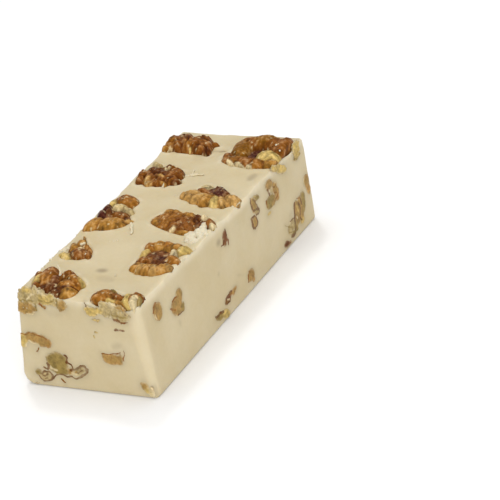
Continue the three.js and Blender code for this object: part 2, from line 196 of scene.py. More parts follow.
# Walnut halves on the top. A lobe is a swelling at x, y whose crown stands top millimetres above the
# fudge; long and wide are half its size, and long points along turn, in degrees.
Lobe = namedtuple("Lobe", "x y top long wide turn colour")
HALVES = {
    "walnut_1": [
        Lobe(-22.2, 50.4, 3.7, 4.4, 2.8, 105, "chestnut"),
        Lobe(-17.2, 52.6, 4.5, 3.8, 2.8, 80, "umber"),
        Lobe(-11, 53.2, 4.3, 4.4, 2.8, 40, "brown"),
        Lobe(-7, 53, 2.4, 3, 1.2, 10, "brown"),
        Lobe(-22.8, 46.8, 2.3, 2.4, 1.9, 60, "amber"),
        Lobe(-18.6, 47.8, 3.3, 3, 1.8, 120, "brown"),
        Lobe(-14.4, 48.4, 3.9, 3.6, 2.5, 70, "chestnut"),
        Lobe(-9.6, 48, 3.7, 3.6, 2.6, 115, "brown"),
        Lobe(-6.4, 46.6, 2.4, 3, 1.9, 130, "umber"),
        Lobe(-15.6, 50.8, 4.4, 1.6, 0.9, 130, "plum"),
        Lobe(-21, 45.6, 1.6, 1.6, 0.9, 60, "cream"),
        Lobe(-12.2, 45.8, 1.6, 1.6, 0.9, 100, "straw"),
        Lobe(-5.2, 44.8, 1.2, 1.4, 0.9, 120, "putty"),
    ],
    "walnut_2": [
        Lobe(6.8, 49.6, 3.4, 6.6, 3.7, 105, "moss"),
        Lobe(14.4, 55.6, 4.1, 5.4, 3.5, 10, "moss"),
        Lobe(22.4, 52.4, 3.9, 7, 3.2, 85, "brown"),
        Lobe(13.6, 47.4, 0.4, 5.4, 4.8, 10, "plum"),
        Lobe(4.4, 43.8, 2, 3.4, 2.2, 130, "brown"),
        Lobe(8.6, 41.2, 2.2, 3.8, 2.6, 150, "chestnut"),
        Lobe(13.4, 39.8, 2.3, 3.8, 2.6, 172, "brown"),
        Lobe(18.2, 39.6, 2.3, 3.8, 2.6, 5, "chestnut"),
        Lobe(22.6, 40.6, 2.3, 3.6, 2.6, 20, "amber"),
        Lobe(7.2, 39.2, 1.6, 3.4, 0.9, 130, "cream"),
        Lobe(11.4, 37.8, 1.6, 3.2, 0.8, 160, "cream"),
        Lobe(16.2, 37.6, 1.7, 1.6, 1.4, 90, "cream"),
        Lobe(20, 45, 3.3, 4.6, 3.7, 160, "straw"),
    ],
    "walnut_3": [
        Lobe(-19.2, 32.2, 2.4, 3.8, 1.7, 150, "putty"),
        Lobe(-13.2, 29.8, 3.4, 3.6, 2.6, 120, "brown"),
        Lobe(-8.4, 27, 3.2, 3.8, 2.4, 120, "brown"),
        Lobe(-17, 26.4, 3.2, 4.2, 3, 130, "umber"),
        Lobe(-13.2, 24.6, 3.3, 3.2, 2.6, 40, "umber"),
        Lobe(-9, 22.2, 3, 3.2, 2.4, 120, "brown"),
        Lobe(-5.8, 21.2, 2.2, 2.2, 1.6, 60, "umber"),
        Lobe(-21.6, 24, 2.7, 3, 2, 100, "brown"),
        Lobe(-20.8, 19.8, 2.2, 2.8, 1.7, 100, "brown"),
        Lobe(-16.8, 19, 2.4, 2.8, 1.8, 110, "tan"),
        Lobe(-12.8, 19.4, 2.2, 2.6, 1.6, 110, "brown"),
        Lobe(-9.8, 18.8, 1.8, 2, 1.2, 120, "amber"),
        # painted highlights: these two pale lobes stand for the shine on walnut_3
        Lobe(-12.6, 27.6, 3.8, 1.4, 0.9, 110, "cream"),
        Lobe(-13, 21.8, 3.2, 1.5, 1, 120, "tan"),
    ],
    "walnut_4": [
        Lobe(5.4, 11.8, 2.6, 4.6, 3.2, 205, "tan"),
        Lobe(9.4, 9.8, 2.6, 4, 2.1, 235, "tan"),
        Lobe(12.8, 9, 2.6, 4.2, 2.2, 262, "amber"),
        Lobe(16.2, 9.4, 2.5, 3.8, 1.7, 285, "straw"),
        Lobe(18.8, 9.8, 2.5, 4.2, 1.7, 300, "tan"),
        Lobe(22.2, 12, 2.6, 4.4, 2.8, 330, "tan"),
        Lobe(8.6, 15.2, 2.4, 3.4, 1.8, 155, "brown"),
        Lobe(15, 15.8, 2.8, 4.4, 2.7, 130, "plum"),
        Lobe(13.2, 16.6, 2.9, 2.2, 1, 100, "rust"),
        Lobe(16.2, 15, 2.9, 2.2, 1, 60, "umber"),
        Lobe(18.4, 14.6, 2.7, 2.6, 1.6, 130, "umber"),
        Lobe(8, 19.2, 0.9, 3.6, 2.4, 150, "putty"),
    ],
    "walnut_5": [
        Lobe(-17.8, 3.8, 2.8, 5.4, 4, 165, "chestnut"),
        Lobe(-22, 2.2, 1.7, 2.8, 2.6, 90, "straw"),
        Lobe(-17.8, -1.6, 2.1, 3.6, 2, 175, "putty"),
        Lobe(-13.4, -3, 2, 3.6, 1.7, 150, "putty"),
        Lobe(-14.4, -7, 1.7, 4.2, 2.6, 160, "brown"),
        Lobe(-11, -8.8, 1, 2.4, 1.6, 130, "umber"),
        Lobe(-21.4, -4.8, 2.9, 2.8, 1.6, 80, "plum"),
        Lobe(-19.8, -6.6, 2.6, 2.4, 1.2, 110, "rust"),
        Lobe(-21.6, -8.6, 2.5, 2.6, 1.7, 130, "plum"),
        Lobe(-14.6, -14.6, 2.5, 6.4, 4.2, 20, "amber"),
        Lobe(-21, -16, 2.6, 5, 3.4, 70, "amber"),
        Lobe(-9.8, -11.8, 1.5, 3.4, 1.4, 40, "tan"),
    ],
    "walnut_6": [
        Lobe(6.4, -6, 2, 6.4, 5, 170, "chestnut"),
        Lobe(12.6, -8, 2, 6.2, 5, 170, "brown"),
        Lobe(2, -7.8, 1.6, 3.6, 2.6, 150, "amber"),
        Lobe(10.6, -11.4, 1.8, 2, 1.6, 60, "cream"),
        Lobe(14.6, -12.6, 1.4, 3.6, 1.8, 170, "amber"),
        Lobe(5, -1.6, 1.8, 4.4, 2, 165, "amber"),
        Lobe(11.6, -1.8, 1.8, 3, 1.6, 10, "amber"),
        Lobe(16.6, -4.6, 2.6, 3, 2, 110, "umber"),
        Lobe(19, -3.4, 2.9, 2.2, 1.8, 130, "cream"),
        Lobe(22.4, -6, 2.7, 2.6, 1.8, 120, "brown"),
        Lobe(24.2, -7.6, 2.3, 1.8, 1.4, 120, "cream"),
        Lobe(19.4, -8.2, 1.8, 3, 1.8, 120, "umber"),
    ],
    "walnut_7": [
        Lobe(-19.2, -33, 2.2, 3.2, 1.8, 120, "amber"),
        Lobe(-17.8, -30, 2.4, 2.4, 1.6, 150, "amber"),
        Lobe(-13.8, -32.8, 2.1, 2.8, 1.4, 140, "chestnut"),
        Lobe(-16.2, -32.6, 1.2, 2, 1.3, 140, "cream"),
        Lobe(-15, -36.8, 2.2, 3.6, 3, 120, "brown"),
        Lobe(-11.2, -36.2, 1.6, 3, 1.2, 120, "brown"),
        Lobe(-19.6, -38.8, 1, 3.6, 2.2, 155, "straw"),
        Lobe(-18.8, -26.2, 1.5, 3.6, 0.6, 125, "amber"),
    ],
    "walnut_8": [
        Lobe(9, -26.4, 2.3, 2.6, 2, 135, "chestnut"),
        Lobe(12, -24.6, 2.5, 2.6, 2, 112, "amber"),
        Lobe(15.6, -24, 2.6, 2.6, 2.2, 92, "chestnut"),
        Lobe(19.2, -24.2, 2.5, 2.6, 2, 70, "amber"),
        Lobe(22.2, -25.6, 2.4, 3.2, 2.2, 50, "straw"),
        Lobe(20, -27.4, 2, 2.2, 1.5, 130, "cream"),
        Lobe(9.2, -30, 1.8, 2.4, 1.6, 60, "straw"),
        Lobe(14.4, -30.2, 0.9, 5, 3.2, 170, "rust"),
        Lobe(16.6, -31.6, 0.9, 3.4, 1.6, 20, "plum"),
        Lobe(11.4, -34.6, 1.8, 3.2, 2.6, 20, "brown"),
        Lobe(16, -34.8, 1.4, 3, 1.6, 100, "umber"),
        Lobe(21.8, -32.2, 2, 3.6, 2.2, 160, "chestnut"),
        Lobe(10.8, -38.8, 1.9, 3, 2.1, 225, "amber"),
        Lobe(13.4, -40, 2, 3, 1.8, 247, "tan"),
        Lobe(16, -40.4, 2, 3, 1.7, 264, "amber"),
        Lobe(18.5, -40.2, 2, 3, 1.7, 282, "tan"),
        Lobe(21, -39, 2, 3, 1.9, 302, "amber"),
        Lobe(22.8, -37.2, 1.9, 2.8, 1.8, 325, "tan"),
    ],
    "walnut_9": [
        Lobe(-17.2, -52.6, 3.2, 4, 3.4, 100, "brown"),
        Lobe(-6.2, -59.8, 2.3, 4.2, 0.7, 12, "umber"),
        Lobe(-21.4, -53.6, 2.2, 2.8, 1.5, 170, "brown"),
        Lobe(-20.6, -57, 2, 3.2, 2, 110, "straw"),
        Lobe(-10.2, -52.4, 3, 3.4, 2.4, 60, "brown"),
        Lobe(-6, -54.8, 3, 4.6, 2.4, 155, "chestnut"),
        Lobe(-3.8, -54.4, 2.8, 3.6, 1.4, 150, "straw"),
        Lobe(-6.8, -57.4, 2.6, 4.2, 2, 10, "chestnut"),
        Lobe(-4.8, -61.2, 2.2, 3.2, 2.6, 30, "amber"),
        Lobe(-12.6, -59.2, 1.6, 4, 2.4, 150, "umber"),
        Lobe(-13.6, -56, 2, 2.8, 2, 110, "rust"),
        Lobe(-19, -60.6, 1.8, 2.8, 1.7, 110, "brown"),
        Lobe(-9.4, -61.8, 1.5, 3.2, 1.8, 160, "umber"),
    ],
    "walnut_10": [
        Lobe(9.9, -60.4, 2.6, 4.6, 3.6, 20, "chestnut"),
        Lobe(12.2, -57.4, 2.6, 1.6, 1, 20, "olive"),
        Lobe(15.6, -59.8, 2, 3.4, 1.6, 160, "brown"),
        Lobe(15, -62.6, 1.4, 3.6, 1.8, 170, "straw"),
        Lobe(18.4, -63.6, 1.6, 3.6, 1.5, 140, "amber"),
        Lobe(20, -60.8, 2.4, 4.4, 1.5, 115, "straw"),
        Lobe(21.4, -59.8, 2.3, 3.4, 0.5, 112, "brown"),
        Lobe(22.8, -60, 2.3, 4.2, 1.3, 108, "cream"),
        Lobe(24.4, -59.6, 2, 3.4, 0.8, 105, "olive"),
        Lobe(22.4, -56.8, 2.2, 2.8, 1.4, 160, "brown"),
    ],
}

# The bodies that the lobes of a half stand on, in the same terms
BODIES = {
    "walnut_1": [Lobe(-14.8, 50.4, 4.2, 9.8, 5, -6, "brown")],
    "walnut_2": [
        Lobe(13.5, 55, 3.8, 10.4, 3.4, 0, "brown"), Lobe(22.4, 49, 2.6, 2.6, 7.6, 0, "brown"),
        Lobe(13.6, 40.8, 2.1, 10.6, 3.2, 0, "brown"), Lobe(14, 46.8, 0.3, 9, 7, 20, "umber"),
    ],
    "walnut_3": [Lobe(-14, 25, 2.9, 8.2, 7.2, 50, "brown")],
    "walnut_4": [Lobe(13.6, 10.8, 2, 10.4, 4.4, 0, "amber"), Lobe(13, 15.6, 1.6, 6, 2.8, -15, "umber")],
    "walnut_5": [Lobe(-17.4, -6, 0.6, 11.4, 6, 98, "umber")],
    "walnut_6": [Lobe(10, -7, 1.9, 11.2, 6.2, -8, "chestnut"), Lobe(20, -6, 1.6, 4.4, 3.2, -40, "umber")],
    "walnut_7": [Lobe(-16.2, -34.8, 1.2, 5.6, 4.6, 120, "brown")],
    "walnut_8": [
        Lobe(16.4, -39.6, 1.9, 7.8, 3.2, 0, "amber"), Lobe(15.6, -24.4, 2.3, 8.8, 3, 0, "amber"),
        Lobe(15.4, -32, 0.8, 8, 7.2, 84, "umber"),
    ],
    "walnut_9": [
        Lobe(-17.6, -54.4, 2.8, 4.8, 4.4, 100, "chestnut"), Lobe(-6.4, -57, 2.5, 6, 4.2, 100, "chestnut"),
        Lobe(-12.6, -57.6, 1.2, 7.4, 5.4, 0, "umber"),
    ],
    "walnut_10": [
        Lobe(10.4, -60.4, 2.4, 4.8, 4, 10, "chestnut"), Lobe(21, -60.2, 2.1, 4.8, 3.2, 90, "straw"),
        Lobe(15.8, -60.8, 0.9, 7.4, 4.2, 4, "brown"),
    ],
}

# Walnut that the knife went through. On each side u runs to the viewer's right from the middle and v up
# from the base. A spot is [u, v, half width, half height, turn, colour], bites are taken out of the
# outline, and a strand of skin is [half width, colour, its points].
SIDES = {
    "front": {"at": (0, -LENGTH / 2), "right": (1, 0)},
    "right": {"at": (WIDTH / 2, 0), "right": (0, 1)},
    "back": {"at": (0, LENGTH / 2), "right": (-1, 0)},
    "left": {"at": (-WIDTH / 2, 0), "right": (0, -1)},
}
Cut = namedtuple("Cut", "side spots bites strands", defaults=((), ()))
CUTS = {
    "kernel_front_1": Cut(
        "front",
        [(-23.7, 16.4, 2.2, 2.7, 0, "straw"), (-20.2, 17.7, 3.6, 2.2, 0, "flesh"),
         (-16.6, 16.9, 3.6, 2.3, -12, "flesh"), (-14, 16.3, 1.6, 1.8, 0, "amber")],
        [(-20.4, 13.8, 2.4, 2, 0)],
        [(0.15, "brown", [(-25, 18.5), (-23.4, 18.4), (-21, 19.4), (-17, 18.8), (-14.2, 17.7)]),
         (0.25, "cream", [(-21.2, 16.3), (-19.6, 15.7), (-18, 15.1)]),
         (0.4, "brown", [(-18, 14.2), (-18.5, 12.9)])],
    ),
    "kernel_front_2": Cut(
        "front",
        [(-11.2, 9.5, 4.5, 4.1, 0, "olive"), (-10, 6.6, 3, 1.9, 0, "olive"),
         (-18.8, 5, 1.7, 1.3, 0, "olive"), (-16, 4, 2.6, 2.1, 0, "putty"),
         (-2.5, 7.3, 2.6, 2, 30, "putty"), (-6.4, 6.6, 1.6, 1.5, 0, "flesh")],
        (),
        [(0.42, "bark", [(-13.4, 3.4), (-12, 4.7), (-10, 5.1), (-8, 4.5), (-6.4, 4.9), (-4.8, 4.4),
                         (-2.6, 4.9), (-0.8, 5.8), (0.2, 7.2), (0.3, 8.6), (-0.5, 9.6), (-2, 9.3),
                         (-3.8, 8.1), (-5, 7.6)]),
         (0.4, "bark", [(-18.8, 3.6), (-18.2, 2.5), (-16.8, 1.9), (-15, 2.1), (-13.8, 3.2), (-13.4, 4.6),
                        (-14.6, 5.8), (-16.2, 5.7), (-17.4, 4.9)]),
         (0.2, "bark", [(-17.2, 4.4), (-16.4, 4), (-15.4, 4.8)]),
         (0.2, "bark", [(-16.3, 3.1), (-15.6, 3.3)]),
         (0.2, "bark", [(-3.4, 6.3), (-2.6, 7), (-1.5, 7.7)]), (0.2, "flesh", [(-4.4, 6.6), (-4, 7)]),
         (0.3, "cream", [(-15.4, 9.4), (-14.4, 8), (-13.4, 7.2), (-11.6, 6.6)]),
         (0.45, "umber", [(-16.4, 7.2), (-15, 6.8), (-14.7, 8.2), (-15.4, 8.9)]),
         (0.4, "umber", [(-7.9, 12.6), (-7, 11.6), (-7.4, 10), (-6, 9.2), (-5.2, 8), (-6.2, 7)]),
         (0.4, "cream", [(-5.6, 6.2), (-4.4, 5.8)]), (0.35, "brown", [(-9.2, 2.3), (-10.2, 3.1)])],
    ),
    "kernel_front_3": Cut(
        "front",
        [(10.6, 13.9, 3.6, 2.8, 8, "flesh"), (13.2, 14.3, 2.3, 2.8, 0, "flesh"),
         (8.8, 14.2, 2, 1.8, 0, "flesh")],
        [(10.5, 22.2, 12, 6.5, 7)],
        [(0.22, "brown", [(7.2, 15.4), (10, 15.4), (12.4, 15.9), (14.8, 16.7)]),
         (0.25, "brown", [(16.4, 17.6), (16.1, 15.8), (15.5, 14.4), (15.6, 13.3)])],
    ),
    "kernel_front_4": Cut(
        "front",
        [(21, 4.7, 1.6, 1.8, 0, "flesh"), (21.7, 3.2, 1.3, 1.6, 20, "straw"),
         (23.1, 2, 1.3, 1.3, 30, "cream"), (23.7, 3.7, 0.8, 0.9, 0, "cream")],
    ),
    "kernel_right_1": Cut(
        "right", [(-52, 26.8, 2.9, 3.7, 14, "flesh")], (),
        [(0.25, "brown", [(-54.5, 27.4), (-53.6, 29.4), (-52, 30.1)]),
         (0.2, "cream", [(-54, 26.2), (-53.4, 24.4)])],
    ),
    "kernel_right_2": Cut(
        "right",
        [(-40.4, 22.1, 3.9, 3.4, -15, "flesh"), (-37.9, 24.5, 2.2, 2.9, 0, "flesh"),
         (-37.8, 20.2, 1.9, 2, 0, "olive")],
        (),
        [(0.35, "brown", [(-44.4, 23.4), (-43.2, 22.4), (-42.2, 21.4)]),
         (0.3, "umber", [(-41, 19.3), (-39.6, 18.7), (-38, 18.5)]),
         (0.3, "brown", [(-42.4, 25), (-40.6, 25.4), (-39.4, 25)])],
    ),
    "kernel_right_3": Cut(
        "right",
        [(-16, 3.6, 3.5, 1.7, -15, "olive"), (-12.6, 2.5, 3.4, 1.9, -22, "straw")],
        (),
        [(0.45, "umber", [(-19.2, 5.1), (-17, 4.9), (-15, 4.5), (-13.6, 4.4)])],
    ),
    "kernel_right_4": Cut(
        "right",
        [(-9.2, 6.3, 2.4, 1.7, 10, "rust"), (-6.6, 7.2, 1.9, 1.2, 10, "brown"),
         (-4, 7.1, 2.5, 1.4, 8, "tan")],
        (),
        [(0.35, "umber", [(-11, 6), (-10, 7.4), (-8, 7.7)]), (0.35, "umber", [(-10.2, 5.1), (-8.2, 5)]),
         (0.3, "umber", [(-7, 7.9), (-5.4, 8.1)]), (0.25, "cream", [(-9.6, 6.6), (-8.6, 6.2)])],
    ),
    "kernel_right_5": Cut(
        "right",
        [(-2.3, 28.1, 1.7, 2.7, -8, "rust"), (-3.3, 26.2, 1.3, 1.6, 0, "rust"),
         (-1.4, 25.7, 1, 2, 10, "rust")],
        (),
        [(0.35, "umber", [(-5.9, 26.1), (-4.5, 26), (-3.5, 27.2)]),
         (0.3, "umber", [(-1.6, 30.6), (-1.2, 28)])],
    ),
    "kernel_right_6": Cut(
        "right", [(9, 6.1, 2.9, 2.6, 0, "flesh"), (10.3, 3.6, 1.3, 1.3, 0, "tan")], (),
        [(0.3, "brown", [(6.4, 5), (6.8, 7), (8.2, 8.3)])],
    ),
    "kernel_right_7": Cut(
        "right",
        [(20.4, 28.5, 2.2, 3.6, 12, "flesh"), (22, 25.2, 1.9, 1.5, 0, "putty"),
         (19, 22, 2.2, 2.6, -10, "flesh"), (23.2, 30, 2.1, 1.3, -25, "olive"),
         (21.6, 31.2, 1.3, 1, 0, "straw")],
        (),
        [(0.4, "bark", [(18.6, 32), (18.3, 30.2), (18.8, 28.4), (19.6, 26.8), (21, 26.2), (22.6, 25.6),
                        (23.8, 24.4), (22.6, 23.7), (21, 24)]),
         (0.35, "bark", [(20.6, 30.6), (21.8, 29.2), (22.6, 27.6), (22.4, 26.2)]),
         (0.3, "olive", [(20, 31), (20.6, 28.6), (21, 26.8)]),
         (0.35, "olive", [(18.6, 23.6), (19.2, 21.4)]),
         (0.45, "bark", [(17.2, 24.6), (17, 22.6), (17.6, 20.4), (18.8, 19.5), (20.6, 20.4), (21.2, 21.6),
                         (20.2, 23.4), (19.4, 24.6), (17.2, 24.6)])],
    ),
    "kernel_right_8": Cut(
        "right",
        [(33.4, 30.2, 3.4, 2.5, -20, "flesh"), (37.4, 25.6, 2.4, 4.4, 8, "flesh"),
         (32.6, 23.7, 3.9, 2.9, 0, "olive"), (34.6, 22.8, 2.6, 2, 0, "flesh"),
         (34.4, 27.2, 1.3, 1.4, 0, "putty"), (30.4, 19.7, 1.8, 0.8, 0, "straw")],
        [(29.8, 28.4, 1.2, 1.6, 0)],
        [(0.55, "umber", [(31.6, 28.8), (32.2, 27.6), (32.8, 26.6)]),
         (0.25, "umber", [(36, 28.2), (37, 27.6), (38.2, 27.8)]),
         (0.25, "brown", [(36, 25.4), (37.4, 24.4)]), (0.25, "brown", [(36.6, 22.6), (38.6, 23.6)]),
         (0.3, "brown", [(29.3, 25.4), (29.6, 23)])],
    ),
    "kernel_right_9": Cut(
        "right", [(38.6, 2.4, 2.5, 1.5, -10, "rust"), (41, 1.7, 1.5, 0.9, -20, "brown")], (),
        [(0.35, "umber", [(37, 2.7), (38.6, 2.2), (39.6, 2.8)])],
    ),
    "kernel_right_10": Cut(
        "right",
        [(50, 9.6, 2.9, 5.2, -6, "flesh"), (53, 9.4, 2.8, 5.8, -4, "flesh"),
         (55.8, 11.4, 2.2, 4.4, -8, "olive"), (53, 5.2, 2.3, 2.3, -20, "straw"),
         (47.4, 5.4, 2, 2.8, 10, "olive"), (44, 7, 3.6, 2.7, 20, "putty"),
         (45.4, 3.7, 2.8, 1.6, 0, "olive")],
        (),
        [(0.45, "bark", [(48.8, 14), (47.9, 11.6), (47.3, 9), (47.3, 6.4), (46.8, 4.6)]),
         (0.7, "bark", [(46.8, 4.6), (46, 3.5), (44.6, 2.9), (43.2, 3.1)]),
         (0.4, "bark", [(52.2, 12.6), (52.5, 10), (52, 8)]), (0.3, "umber", [(51.4, 6.8), (52.8, 5.2)]),
         (0.3, "bark", [(54, 13.8), (54.4, 10.8)]), (0.3, "brown", [(51.4, 15), (53.2, 14.4)]),
         (0.3, "cream", [(48.8, 8.8), (49.3, 7.6)]), (0.3, "straw", [(50.6, 12.4), (50.8, 9.4)]),
         (0.2, "olive", [(39.6, 9.6), (41, 8.8), (43.2, 7), (44.4, 6.2)]),
         (0.2, "olive", [(41, 6), (42.6, 5.3), (45, 4.2)]),
         (0.2, "bark", [(43.4, 9.6), (45, 9.4), (47, 9)])],
    ),
    "kernel_right_11": Cut("right", [(61, 17.4, 2.4, 3, 0, "flesh"), (61.6, 14, 1.7, 3, 5, "tan")]),
    "kernel_back_1": Cut(
        "back", [(-13.6, 13.4, 3.6, 2.8, 10, "flesh"), (-8.8, 12, 3.4, 2.4, -15, "olive")],
        [(-10.6, 9.6, 1.6, 1.2, 0)],
        [(0.35, "brown", [(-16.4, 14.4), (-13, 15.8), (-9, 13.8)]),
         (0.35, "bark", [(-12, 15), (-11.2, 13), (-11.8, 11.4)]),
         (0.25, "cream", [(-14.6, 12.8), (-13.4, 12.2)]), (0.3, "bark", [(-6.6, 12.4), (-5.2, 10.6)])],
    ),
    "kernel_back_2": Cut(
        "back", [(12, 20, 3.4, 3.6, 0, "flesh"), (13, 16, 2.6, 2.6, 0, "straw")],
        [(9.6, 17.4, 1.2, 1, 0)],
        [(0.35, "umber", [(9.4, 21), (11, 22.8)]), (0.3, "brown", [(11, 17.8), (14.2, 17.6)]),
         (0.35, "bark", [(14.4, 21.6), (14.6, 19.4), (13.4, 18)]), (0.3, "olive", [(12, 15), (14, 14.4)])],
    ),
    "kernel_back_3": Cut(
        "back", [(1.4, 6, 3, 2.2, 0, "rust"), (4.9, 6.6, 2.6, 2.4, 0, "flesh")], (),
        [(0.35, "umber", [(-0.8, 6.8), (1.4, 7.4), (3.2, 6.8)]), (0.3, "bark", [(4.4, 8.4), (6, 8.2)]),
         (0.25, "cream", [(4.4, 6.2), (5.4, 5.8)])],
    ),
    "kernel_left_1": Cut(
        "left", [(-50.6, 12.5, 3.2, 2.6, 0, "flesh"), (-46.8, 11.6, 3, 2.2, -20, "olive")],
        [(-48.8, 9.2, 1.4, 1.2, 0)],
        [(0.35, "brown", [(-53, 13.4), (-50, 14.6), (-46, 13)]),
         (0.35, "bark", [(-49.4, 13.6), (-48.6, 11.8), (-49, 10.4)]),
         (0.25, "cream", [(-52, 11.6), (-50.6, 11)]), (0.3, "bark", [(-46.4, 11.6), (-44.4, 10.2)])],
    ),
    "kernel_left_2": Cut(
        "left", [(-33, 21, 2.6, 3.6, 20, "flesh")], [(-30.4, 20, 0.9, 1.3, 0)],
        [(0.4, "bark", [(-34.6, 18.8), (-35, 21), (-34.4, 23.4), (-33.4, 24.6)]),
         (0.3, "umber", [(-32.8, 22.6), (-32.2, 20.6), (-32.6, 18.6)]),
         (0.3, "olive", [(-33.8, 20.6), (-33.2, 19)])],
    ),
    "kernel_left_3": Cut(
        "left",
        [(-26, 9.6, 3, 2.4, 0, "olive"), (-22.4, 11.6, 3.2, 2.8, 30, "flesh"),
         (-22, 10.6, 1.4, 1, 20, "putty")],
        (),
        [(0.4, "umber", [(-28, 10), (-25.6, 11.4), (-24, 13.6)]),
         (0.35, "bark", [(-28.6, 9), (-27.4, 7.6), (-25.4, 7.4), (-23.8, 8.6)]),
         (0.3, "cream", [(-23, 12.6), (-21.4, 13)])],
    ),
    "kernel_left_4": Cut(
        "left", [(-9, 19, 2.6, 3, 0, "flesh"), (-8.3, 15.4, 2.2, 2.8, 0, "rust")],
        [(-5.8, 17.4, 1, 0.9, 0)],
        [(0.35, "umber", [(-11, 19.4), (-10.4, 17.2), (-9.4, 15.6), (-9.8, 13.8)]),
         (0.3, "bark", [(-8.6, 21.4), (-7.2, 19.8), (-7.4, 18.4)]),
         (0.25, "cream", [(-9.4, 18.6), (-8.6, 17.8)])],
    ),
    "kernel_left_5": Cut(
        "left", [(3, 9.5, 3.4, 2.2, 15, "straw"), (4.8, 10.2, 1.4, 1.2, 0, "flesh")], (),
        [(0.35, "umber", [(0.6, 9.4), (3, 11.2)]), (0.3, "olive", [(1.4, 8.6), (3.6, 9.4), (5.6, 10.4)]),
         (0.3, "brown", [(3.4, 7.8), (5.4, 8.8)])],
    ),
    "kernel_left_6": Cut(
        "left", [(14.6, 20.6, 2.8, 2.6, 0, "olive"), (17.8, 19.4, 2.8, 3, 0, "flesh")],
        [(15.2, 17.6, 1.2, 1, 0)],
        [(0.4, "bark", [(12.4, 21.6), (14, 22.6), (15.8, 21.8), (16.2, 20), (15.9, 18.6), (16.8, 17)]),
         (0.25, "cream", [(17.6, 20.4), (18.8, 19.6)]), (0.3, "umber", [(19.8, 20.8), (20, 18.6)])],
    ),
    "kernel_left_7": Cut(
        "left", [(30, 12, 2.4, 3.4, -15, "flesh")], (),
        [(0.3, "brown", [(31.4, 10), (31.6, 12), (31, 13.6)]),
         (0.35, "bark", [(28.4, 13.8), (28.2, 11.4), (29, 9.4)]),
         (0.25, "straw", [(29.6, 13.2), (29.8, 11)])],
    ),
    "kernel_left_8": Cut(
        "left", [(51.6, 15.4, 2.8, 3.2, 0, "straw"), (51.2, 11.6, 2.4, 2.6, 0, "flesh")],
        [(54, 12.6, 1.2, 1, 0)],
        [(0.35, "olive", [(49.4, 14.6), (51.4, 13.4), (53.4, 13.8)]),
         (0.3, "bark", [(53, 17.4), (53.8, 15)]), (0.3, "brown", [(49.6, 11), (51, 9.8)])],
    ),
}

# Halves at the edges show their flesh where a side cut them
HALF_CUTS = {
    "walnut_2": [
        Cut("right", [(43, 32, 5.6, 1.9, -34, "straw"), (39.6, 34, 2.8, 1.6, -25, "straw")]),
        Cut(
            "right", [(57.2, 31.8, 2.9, 3.6, 0, "straw"), (57.4, 34, 3, 2, 0, "straw")], (),
            [(0.3, "olive", [(54.5, 29.7), (57, 28.7), (59.4, 30)])],
        ),
    ],
    "walnut_9": [
        Cut(
            "front",
            [(-21.2, 28.6, 4.2, 2.7, 0, "flesh"), (-22.6, 32, 2.6, 3, 0, "putty"),
             (-18, 32.6, 4.2, 2.7, -4, "putty"), (-13, 32.6, 4.8, 2.3, 0, "straw"),
             (-9, 32.4, 3.6, 2, -10, "putty"), (-6.3, 31.6, 2.5, 2.5, 0, "flesh"),
             (-20.6, 34.6, 2.4, 1.6, 0, "straw"), (-17, 35, 1.6, 1.8, 10, "putty"),
             (-13.8, 34.9, 1.8, 1.5, -10, "cream"), (-10.6, 34.2, 1.8, 1.2, 0, "straw")],
            (),
            [(0.6, "brown", [(-15.4, 30.4), (-14.6, 29.6), (-13.6, 29.5)]),
             (0.3, "olive", [(-17.4, 30.6), (-17.2, 28)]), (0.25, "cream", [(-21, 26.1), (-18.6, 26.4)]),
             (0.3, "olive", [(-15.4, 31.6), (-12, 31.8), (-9.4, 32.6)]),
             (0.25, "olive", [(-24, 30.6), (-22.6, 31.4), (-20.6, 30.8), (-18.6, 31.2)]),
             (0.25, "cream", [(-20.4, 31.6), (-18.8, 33.4), (-17.6, 33.6)]),
             (0.3, "olive", [(-8, 33.6), (-7.6, 31.4), (-8.2, 30.2)])],
        ),
    ],
    "walnut_10": [
        Cut(
            "front",
            [(6.2, 31, 3.1, 2, 0, "straw"), (9.6, 31.6, 2.2, 1.6, 0, "straw"),
             (13, 32, 3.2, 2.7, 0, "putty"), (18, 31, 4.3, 2.8, 0, "putty"),
             (7.6, 27.8, 1.9, 0.6, 12, "straw"), (12.2, 34.2, 2.4, 1.4, 0, "putty"),
             (15.6, 34.5, 2, 1.3, 0, "cream"), (18.6, 33.4, 2.6, 1.2, 0, "tan")],
            (),
            [(0.32, "rust", [(14.6, 29), (16.4, 29.2), (17.4, 28.8)]),
             (0.35, "rust", [(18.2, 28.7), (20, 28.4), (20.8, 28.7)]),
             (0.25, "olive", [(15, 30.7), (18, 30.2), (20.6, 30.6)]),
             (0.3, "umber", [(3.6, 33.7), (4.5, 32.5)])],
        ),
    ],
}

# Thin flakes and a pulled string of fudge lying on the top
FLAKES = Cut(
    "top",
    [(-2.6, 29.2, 1.8, 1, 15, "torn")],
    (),
    [(0.45, "torn", [(-6.3, 27.4), (-4.1, 28.5), (-1.6, 29.2), (0.8, 29.6)]),
     (0.45, "torn", [(-4.6, 32.4), (-3.9, 30.4), (-3.2, 28.8)])],
)
STRING = Cut(
    "top", [(-5.2, -15, 1, 0.7, -55, "torn")], (),
    [(0.65, "torn", [(-8.4, -10.2), (-6.8, -12.4), (-5.2, -15), (-3.8, -17.4), (-3.2, -18.6)])],
)
